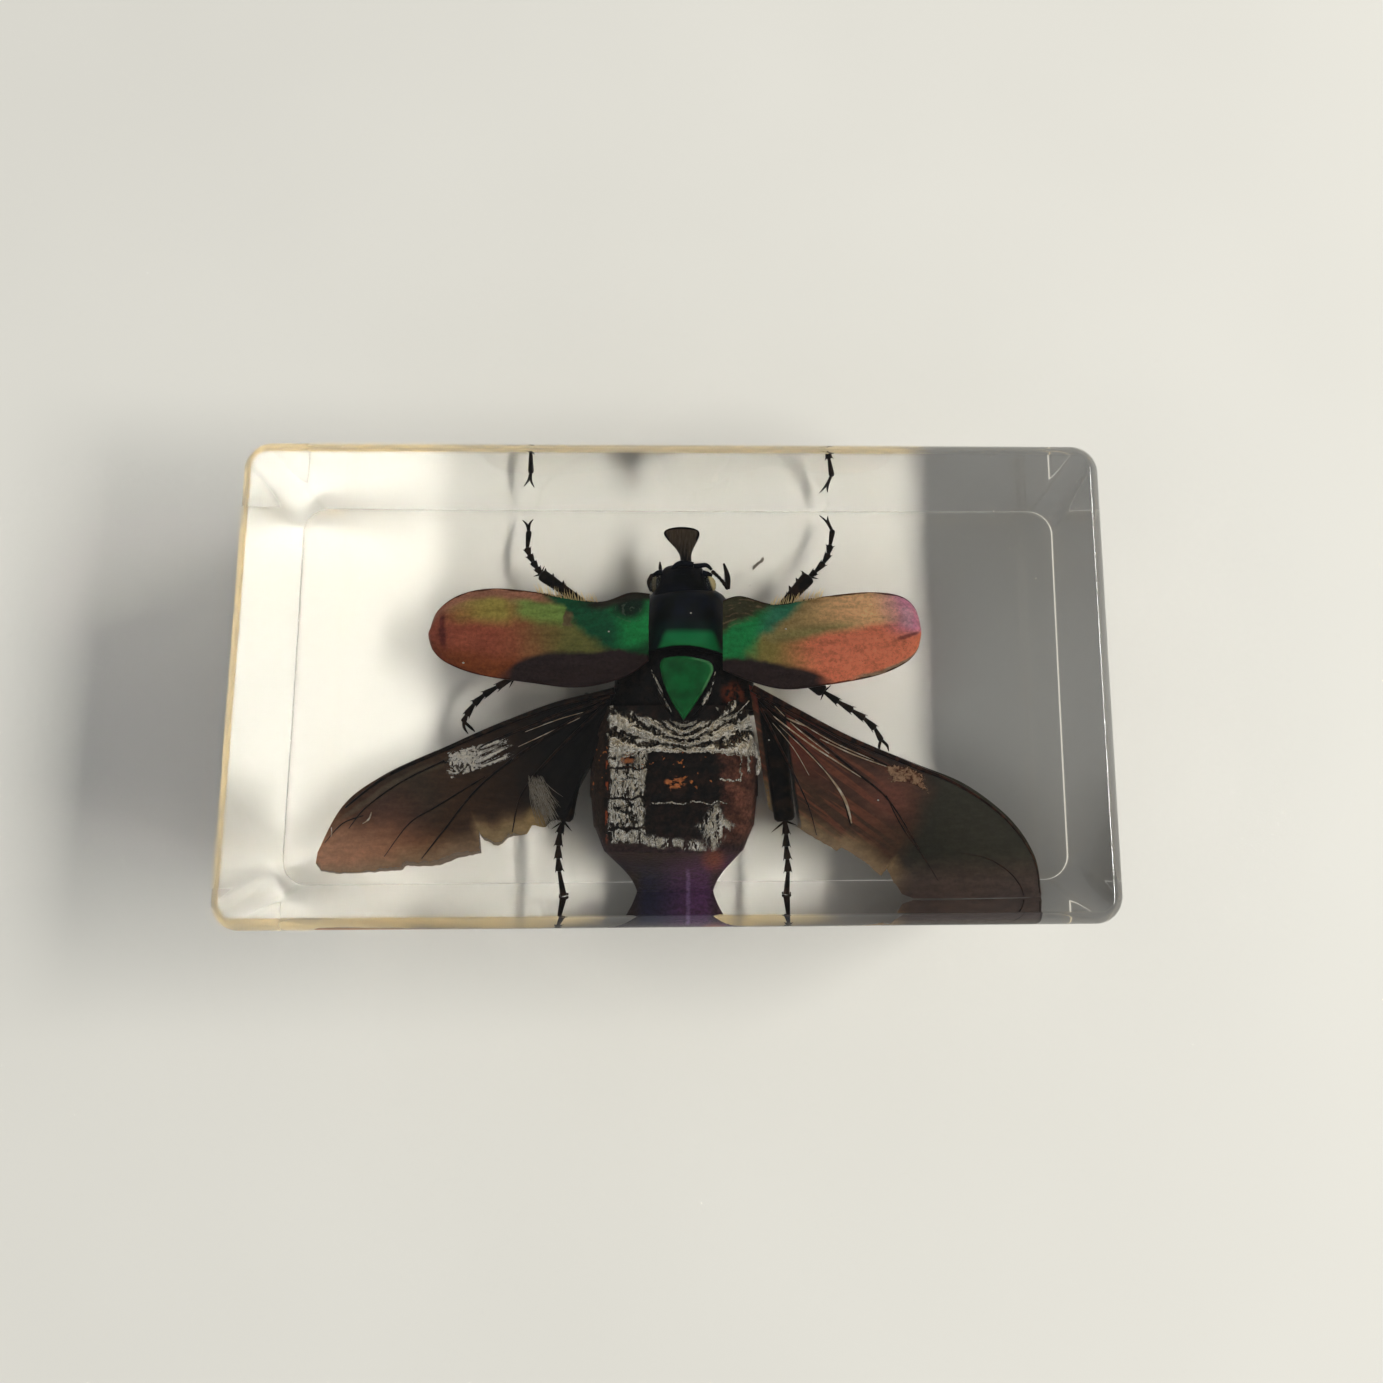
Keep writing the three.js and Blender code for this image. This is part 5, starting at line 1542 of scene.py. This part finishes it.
def wing_film():
    """Air caught on the left wing, crumpled at its outer end and combed at its inner one, with painted light,
    shade and glints in its colour.
    """
    top_left, top_right, low_right, low_left = WING_FILM_CORNERS
    rows, marks, across_marks = [], [], []
    for v in shares(44):
        left = blend(top_left, low_left, v)
        right = blend(top_right, low_right, v)
        row = []
        for u in shares(90):
            x, y = blend(left, right, u)
            ridge = 0.12 * abs(wrinkle(x * 0.5, y * 2.4, 0.0, 1.6)) + 0.06 * wrinkle(x, y, 4.0, 3.0)
            row.append((x, y, wing_level(x, y) + 0.18 + ridge))
            marks.append(min(u * 4, (1 - u) * 4, v * 4, (1 - v) * 4))
            across_marks.append(u)
        rows.append(row)
    form = Form().grid(rows, edge=marks, across=across_marks)
    finish = Finish("wing_film", Specular_IOR_Level=0.5)
    crumpled = finish.grain(1.8, 4.0, distortion=1.4)
    slanted = finish.tilted(0.42, 0.35, 3.2)
    combed = finish.grain(1.0, 3.0, slanted)
    inner = finish.zone(finish.mark("across"), 0.42, 0.6)
    share = inner * finish.zone(combed, 0.44, 0.6) + (1 - inner) * finish.zone(crumpled, 0.4, 0.62)
    # painted light and shade of the crumples and combing, from dark grey to pale
    finish.base = finish.mix(share, srgb(84, 76, 68), srgb(240, 234, 222))
    # painted glints: white lines along the crumples
    finish.lay(finish.zone(abs(crumpled - 0.5), 0.03, 0.01) * 0.7, srgb(255, 252, 246))
    solid = finish.zone(finish.mark("edge") + 1.3 * (crumpled - 0.5), 0.2, 0.5)
    opacity = solid * (1 - inner * finish.zone(combed, 0.47, 0.42))
    finish.set(Base_Color=finish.base, Metallic=0.8, Alpha=opacity, Roughness=0.26 + 0.2 * crumpled)
    finish.relief(crumpled, 0.25, 0.9)
    return make("wing_film", form, finish, (), sharp=180.0)


def frayed_strands():
    """Pale torn strands of membrane beside the left hind leg."""
    chance = random.Random(11)
    form = Form()
    for _ in range(STRAND_COUNT):
        x = STRAND_ROOT[0] + chance.uniform(-0.7, 0.6)
        y = STRAND_ROOT[1] + chance.uniform(-0.4, 0.4)
        start = [x, y, STRAND_ROOT[2]]
        end = [x + 1.2 + chance.uniform(-0.6, 0.7), y - chance.uniform(1.6, 4.1), 9.0]
        middle = blend(start, end, 0.5)
        middle[0] -= chance.uniform(0.0, 0.3)
        path = [[*start, 0.012], [*middle, 0.028], [*end, 0.01]]
        form.limb(curve_through(path, 8), 5)
    return make("frayed_strands", form, dust_fibre(), ())


# ---------------------------------------------------------------- legs

LEGS = {
    "leg_front_left": {
        "coxa": [-1.4, 5.8, 3.2], "knee": [-8.6, 7.6, 6.1], "ankle": [-12.9, 10.6, 5.2], "tibia": 0.55,
        "foot": [[-13.3, 11.2, 5.0], [-13.7, 11.8, 4.7], [-14.1, 12.5, 4.4], [-14.4, 13.2, 4.0],
                 [-14.4, 15.0, 3.2]],
        "claws": [[-15.1, 16.2, 2.6], [-14.1, 16.3, 2.6]],
        "spurs": [[-13.6, 10.4, 5.2], [-12.6, 11.4, 5.2]],
        "teeth": [[0.55, -1], [0.78, -1], [0.95, -1]], "spines": 6,
    },
    "leg_front_right": {
        "coxa": [2.8, 5.8, 3.2], "knee": [9.2, 7.2, 6.1], "ankle": [12.0, 10.4, 5.2], "tibia": 0.65,
        "foot": [[12.6, 10.9, 5.0], [13.4, 11.8, 4.6], [13.9, 12.7, 4.2], [14.1, 13.6, 3.8],
                 [14.4, 15.2, 3.2]],
        "claws": [[13.2, 16.8, 2.6], [14.0, 16.7, 2.6]],
        "spurs": [[11.2, 11.0, 5.2], [12.9, 10.2, 5.2]],
        "teeth": [[0.5, 1], [0.74, 1], [0.95, 1]], "spines": 6,
    },
    "leg_middle_left": {
        "coxa": [-2.6, 1.2, 3.2], "knee": [-9.0, 3.4, 6.2], "ankle": [-14.9, 1.0, 6.0], "tibia": 0.55,
        "foot": [[-16.5, 0.1, 5.7], [-17.7, -0.6, 5.4], [-18.6, -1.4, 5.1], [-19.3, -2.4, 4.8],
                 [-19.6, -3.0, 4.6]],
        "claws": [[-19.2, -4.1, 4.2], [-18.6, -3.9, 4.2]],
        "spurs": [[-15.8, 1.2, 5.8], [-15.4, 0.0, 5.8]],
        "teeth": [[0.6, 1]], "spines": 10,
    },
    "leg_middle_right": {
        "coxa": [3.7, 1.0, 3.2], "knee": [8.2, 3.2, 6.2], "ankle": [13.2, -0.4, 5.8], "tibia": 0.6,
        "foot": [[14.5, -1.3, 5.6], [15.8, -2.1, 5.4], [16.9, -2.8, 5.1], [17.9, -3.7, 4.8],
                 [18.5, -4.8, 4.5]],
        "claws": [[18.4, -5.7, 4.1], [19.2, -5.8, 4.1]],
        "spurs": [[13.9, 0.2, 5.7], [12.9, -1.2, 5.7]],
        "teeth": [[0.6, -1]], "spines": 10,
    },
    "leg_hind_left": {
        "coxa": [-3.2, -1.8, 3.2], "knee": [-8.4, -1.0, 7.2], "ankle": [-10.1, -11.9, 7.0], "tibia": 0.85,
        "stout": 1.25,
        "foot": [[-10.4, -12.9, 6.8], [-10.5, -14.0, 6.7], [-10.5, -15.1, 6.6], [-10.4, -16.2, 6.5],
                 [-10.0, -18.36, 6.3]],
        "claws": [[-10.3, -18.2, 5.5], [-9.75, -18.2, 5.5]], "blunt": True,
        "spurs": [[-11.2, -12.6, 6.4], [-9.4, -12.8, 6.4]],
        "teeth": [], "spines": 16,
    },
    "leg_hind_right": {
        "coxa": [3.8, -1.8, 3.2], "knee": [8.3, -1.9, 7.2], "ankle": [9.5, -12.0, 7.0], "tibia": 0.95,
        "stout": 1.2,
        "foot": [[9.6, -13.1, 6.8], [9.6, -14.2, 6.7], [9.7, -15.3, 6.6], [9.75, -16.4, 6.5],
                 [9.6, -18.36, 6.3]],
        "claws": [[9.35, -18.2, 5.5], [9.9, -18.2, 5.5]], "blunt": True,
        "spurs": [[8.3, -13.0, 6.4], [10.6, -12.4, 6.4]],
        "teeth": [], "spines": 16,
    },
}


def sideways(start, end, side):
    """A level direction square to the line between two points."""
    dx, dy = end[0] - start[0], end[1] - start[1]
    length = math.hypot(dx, dy)
    return [-dy / length * side, dx / length * side]


def pushed(point, out, reach, rise=0.0):
    """A point moved level by `reach` along a direction, and up by `rise`."""
    return [point[0] + out[0] * reach, point[1] + out[1] * reach, point[2] + rise]


def shin(form, plan, chance):
    """The tibia, with its outer teeth and rows of short spines."""
    knee, ankle, thick = plan["knee"], plan["ankle"], plan["tibia"]
    stout = plan.get("stout", 0.7)
    path = [[*knee, thick * stout * 0.8], [*blend(knee, ankle, 0.15), thick * stout]]
    path += [[*blend(knee, ankle, 0.5), thick * (stout + 1) / 2], [*blend(knee, ankle, 0.86), thick]]
    path += [[*blend(knee, ankle, 0.97), thick * 0.98], [*ankle, thick * 0.7]]
    form.limb(curve_through(path, 30), 16, 0.7)
    for place, side in plan["teeth"]:
        root = blend(knee, ankle, place - 0.04)
        out = sideways(knee, ankle, side)
        tip = pushed(blend(knee, ankle, place + 0.05), out, thick * 1.3)
        form.bristle(root, tip, thick * 0.5)
    for index in range(plan["spines"]):
        share = 0.25 + 0.7 * index / plan["spines"] + chance.uniform(-0.02, 0.02)
        out = sideways(knee, ankle, 1 if index % 2 else -1)
        root = pushed(blend(knee, ankle, share), out, thick * 0.7)
        reach = thick * chance.uniform(1.0, 1.22)
        tip = pushed(blend(knee, ankle, share + 0.05), out, reach, chance.uniform(-0.1, 0.15))
        form.bristle(root, tip, 0.045)


def foot(form, plan, chance):
    """Five bell-shaped joints with short teeth at their ends, and two hooked claws."""
    start = plan["ankle"]
    for index, end in enumerate(plan["foot"]):
        last = index == len(plan["foot"]) - 1
        narrow, wide = (0.17, 0.27) if last else (0.19, 0.33)
        path = [[*blend(start, end, -0.06), narrow * 0.8], [*blend(start, end, 0.3), narrow * 1.15]]
        path += [[*blend(start, end, 0.8), wide], [*blend(start, end, 0.98), wide * 0.92]]
        if last and plan.get("blunt"):
            path = path[:2] + [[*blend(start, end, 0.8), wide], [*end, wide * 1.05]]
        else:
            path += [[*blend(start, end, 1.04), 0.12]]
        form.limb(curve_through(path, 14), 12, 0.85)
        if not last:
            for side in (-1, 1):
                out = sideways(start, end, side)
                root = pushed(blend(start, end, 0.8), out, 0.24)
                tip = pushed(blend(start, end, 1.14), out, 0.4 + chance.uniform(-0.06, 0.06))
                form.bristle(root, tip, 0.07)
        start = end
    toe, before = plan["foot"][-1], plan["foot"][-2]
    for side, tip in zip((-1, 1), plan["claws"]):
        out = sideways(before, toe, side)
        bend = pushed(blend(toe, tip, 0.55), out, 0.16, 0.12)
        path = [[*blend(before, toe, 0.94), 0.14], [*bend, 0.13], [*tip, 0.035]]
        form.limb(curve_through(path, 16), 8)


def leg(name, plan, finish):
    """One leg from its hip to its claws, seeded by its own name."""
    chance = random.Random(name)
    form = Form()
    coxa, knee, ankle = plan["coxa"], plan["knee"], plan["ankle"]
    thigh = [[*coxa, FEMUR_RADIUS * 0.8], [*blend(coxa, knee, 0.35), FEMUR_RADIUS * 1.02]]
    thigh += [[*blend(coxa, knee, 0.75), FEMUR_RADIUS * 0.85], [*knee, FEMUR_RADIUS * 0.62]]
    form.limb(curve_through(thigh, 24), 16, 0.7)
    shin(form, plan, chance)
    foot(form, plan, chance)
    for tip in plan["spurs"]:
        form.bristle(blend(ankle, tip, -0.1), tip, 0.12, 0.04)
    return make(name + "_chitin", form, finish, (name,))


# ---------------------------------------------------------------- small things in the resin

SPECKS = [
    [30.2, 12.5, 9.0, 0.07],
    [28.9, 16.0, 9.0, 0.06],
    [27.8, 4.6, 9.0, 0.05],
    [32.5, 9.7, 9.0, 0.09],
    [8.0, -5.0, 12.0, 0.06],
    [-5.9, 4.4, 13.2, 0.07],
    [9.5, 4.6, 13.3, 0.07],
    [1.2, 6.1, 12.6, 0.06],
    [6.4, 8.8, 11.0, 0.06],
    [9.7, 9.4, 10.4, 0.05],
    [17.6, -10.2, 9.6, 0.07],
    [-18.6, 1.8, 11.6, 0.08],
    [22.0, 6.0, 8.0, 0.04],
    [-26.0, 8.0, 7.0, 0.05],
    [-12.2, -13.0, 7.0, 0.05],
]


def ball(form, centre, radius):
    """A small ball, a little longer than it is wide."""
    loops = []
    for share in shares(8):
        turn = (share - 0.5) * math.pi
        size = radius * math.cos(turn) + radius * 0.02
        height = centre[2] + radius * math.sin(turn)
        loop = []
        for angle in turns(12):
            x = centre[0] + size * 1.25 * math.cos(angle)
            loop.append((x, centre[1] + size * math.sin(angle), height))
        loops.append(loop)
    form.loft(loops)


def specks():
    """Bubbles in the resin, each given as [x, y, z, radius]."""
    form = Form()
    for x, y, z, radius in SPECKS:
        ball(form, (x, y, z), radius)
    return make("specks", form, bubble_skin(), ())


def dust_fleck():
    """A torn grey scrap that hangs beside the head."""
    rows = []
    for u in shares(12):
        row = []
        for v in shares(5):
            x = 6.7 + 1.0 * u + 0.12 * wrinkle(u * 3, v * 2, 1.0)
            y = 10.9 + 0.9 * u - 0.36 * v + 0.12 * wrinkle(u * 4, v, 2.0)
            row.append((x, y, 8.6 + 0.16 * wrinkle(x, y, 0.0, 2.0)))
        rows.append(row)
    return make("dust_fleck", Form().pad(rows, 0.04), dust_fibre(), ())


# ---------------------------------------------------------------- floor, light and camera


def pale_floor():
    """A plain pale tabletop, just under the block's base."""
    steps = [-FLOOR_HALF + 2 * FLOOR_HALF * share for share in shares(12)]
    form = Form().grid([[(x, y, -FLOOR_DROP) for x in steps] for y in steps])
    finish = Finish("pale_floor", Specular_IOR_Level=0.2)
    tone = finish.grain(0.02, 2.0)
    colour = finish.mix(tone, srgb(199, 197, 190), srgb(208, 206, 199))
    finish.set(Base_Color=colour, Roughness=0.62 + 0.05 * tone)
    mesh = bpy.data.meshes.new("floor")
    mesh.from_pydata([point * MM for point in form.points], [], form.faces)
    mesh.materials.append(finish.material)
    floor = put_in_scene("floor", mesh)


KEY_ELEVATION = math.radians(36)
KEY_DISTANCE = 1.5  # this and the two sizes of the key are in metres
KEY_WIDTH = 1.1
KEY_HEIGHT = 0.3
KEY_POWER = 34.0
KEY_COLOUR = (1.0, 0.985, 0.94)
FILL_COLOUR = (0.95, 0.975, 1.0, 1.0)
FILL_OVERHEAD = 0.12
FILL_LEVEL = 0.7
FILL_DARKENS_FROM = 0.55  # height of a direction, where 1 is straight up
FILL_DARKENS_TO = 0.95


def studio_light():
    """A wide, low key from the right and a fill that is darker overhead."""
    lamp = bpy.data.lights.new("key", "AREA")
    lamp.shape = "RECTANGLE"
    lamp.size = KEY_WIDTH
    lamp.size_y = KEY_HEIGHT
    lamp.energy = KEY_POWER
    lamp.color = KEY_COLOUR
    lamp.cycles.is_caustics_light = True
    key = put_in_scene("key", lamp)
    away = Vector((math.cos(KEY_ELEVATION), 0.0, math.sin(KEY_ELEVATION)))
    key.location = away * KEY_DISTANCE
    key.rotation_euler = away.to_track_quat("Z", "Y").to_euler()
    world = bpy.data.worlds.new("fill")
    world.use_nodes = True
    SCENE.world = world
    fill = Nodes(world.node_tree)
    direction = fill.node("ShaderNodeTexCoord", output="Generated")
    height = fill.node("ShaderNodeSeparateXYZ", None, {0: direction}, "Z")
    sockets = {"Value": height, "From Min": FILL_DARKENS_FROM, "From Max": FILL_DARKENS_TO}
    sockets.update({"To Min": FILL_LEVEL, "To Max": FILL_OVERHEAD})
    strength = fill.node("ShaderNodeMapRange", None, sockets)
    background = fill.tree.nodes["Background"]
    fill.feed(background, "Color", FILL_COLOUR)
    fill.feed(background, "Strength", strength)


FOCAL_PIXELS = 1000.0  # focal length in pixels of the 1383 pixel frame
FRAME_PIXELS = 1383.0
OPTICAL_CENTRE = (758.8, 635.0)
CAMERA_PLACE = (4.82, -9.455, 101.62)
CAMERA_RIGHT = (0.9996, -0.0047, 0.0262)
CAMERA_UP = (0.0006, 0.9879, 0.1553)
SENSOR_WIDTH = 36.0


def camera():
    """Close over the block, a little in front of it, with the frame shifted to one side."""
    lens = bpy.data.cameras.new("camera")
    lens.sensor_width = SENSOR_WIDTH
    lens.lens = FOCAL_PIXELS / FRAME_PIXELS * SENSOR_WIDTH
    lens.shift_x = -(OPTICAL_CENTRE[0] - FRAME_PIXELS / 2) / FRAME_PIXELS
    lens.shift_y = (OPTICAL_CENTRE[1] - FRAME_PIXELS / 2) / FRAME_PIXELS
    lens.clip_start = 0.002
    eye_point = put_in_scene("camera", lens)
    right = Vector(CAMERA_RIGHT).normalized()
    back = right.cross(Vector(CAMERA_UP)).normalized()
    up = back.cross(right)
    turned = Matrix((right, up, back)).transposed().to_4x4()
    eye_point.matrix_world = Matrix.Translation(Vector(CAMERA_PLACE) * MM) @ turned
    SCENE.camera = eye_point


def picture():
    """Plain colours, sharp refraction and enough bounces for light inside the block."""
    SCENE.view_settings.view_transform = "Standard"
    SCENE.cycles.use_denoising = True
    SCENE.cycles.blur_glossy = 0.0
    SCENE.cycles.sample_clamp_indirect = 80.0
    SCENE.cycles.max_bounces = 16
    SCENE.cycles.transmission_bounces = 12
    SCENE.cycles.glossy_bounces = 8
    SCENE.cycles.diffuse_bounces = 5
    SCENE.cycles.transparent_max_bounces = 24


# ---------------------------------------------------------------- the whole object

camera()
pale_floor()
studio_light()
picture()

resin_block()
head()
horn()
eye("eye_left", -1)
eye("eye_right", 1)
leg_finish = leg_chitin()
antenna("antenna_left", ANTENNA_LEFT, leg_finish)
antenna("antenna_right", ANTENNA_RIGHT, leg_finish)
pronotum()
thorax()
scutellum()
abdomen()
back_film()
side_films()
elytron("elytron_left", ELYTRON_LEFT, -1, elytron_left_shell())
elytron("elytron_right", ELYTRON_RIGHT, 1, elytron_right_shell())
fringe()
hindwing("hindwing_left", WING_LEFT, wing_left_membrane())
hindwing("hindwing_right", WING_RIGHT, wing_right_membrane())
wing_ribs("veins_left", WING_LEFT_VEINS, wing_veins("veins_left", srgb(24, 18, 15), srgb(58, 40, 28)))
wing_ribs("veins_right", WING_RIGHT_VEINS, wing_veins("veins_right", srgb(34, 21, 17), srgb(78, 46, 32)))
# painted highlights along the wing veins
wing_ribs("painted_vein_highlights", VEIN_HIGHLIGHT_RIBS, wing_veins("painted_vein_highlights", srgb(196, 168, 136), srgb(244, 236, 220)), 0.1)
fold_flap()
wing_film()
frayed_strands()
for leg_name, leg_plan in LEGS.items():
    leg(leg_name, leg_plan, leg_finish)
specks()
dust_fleck()
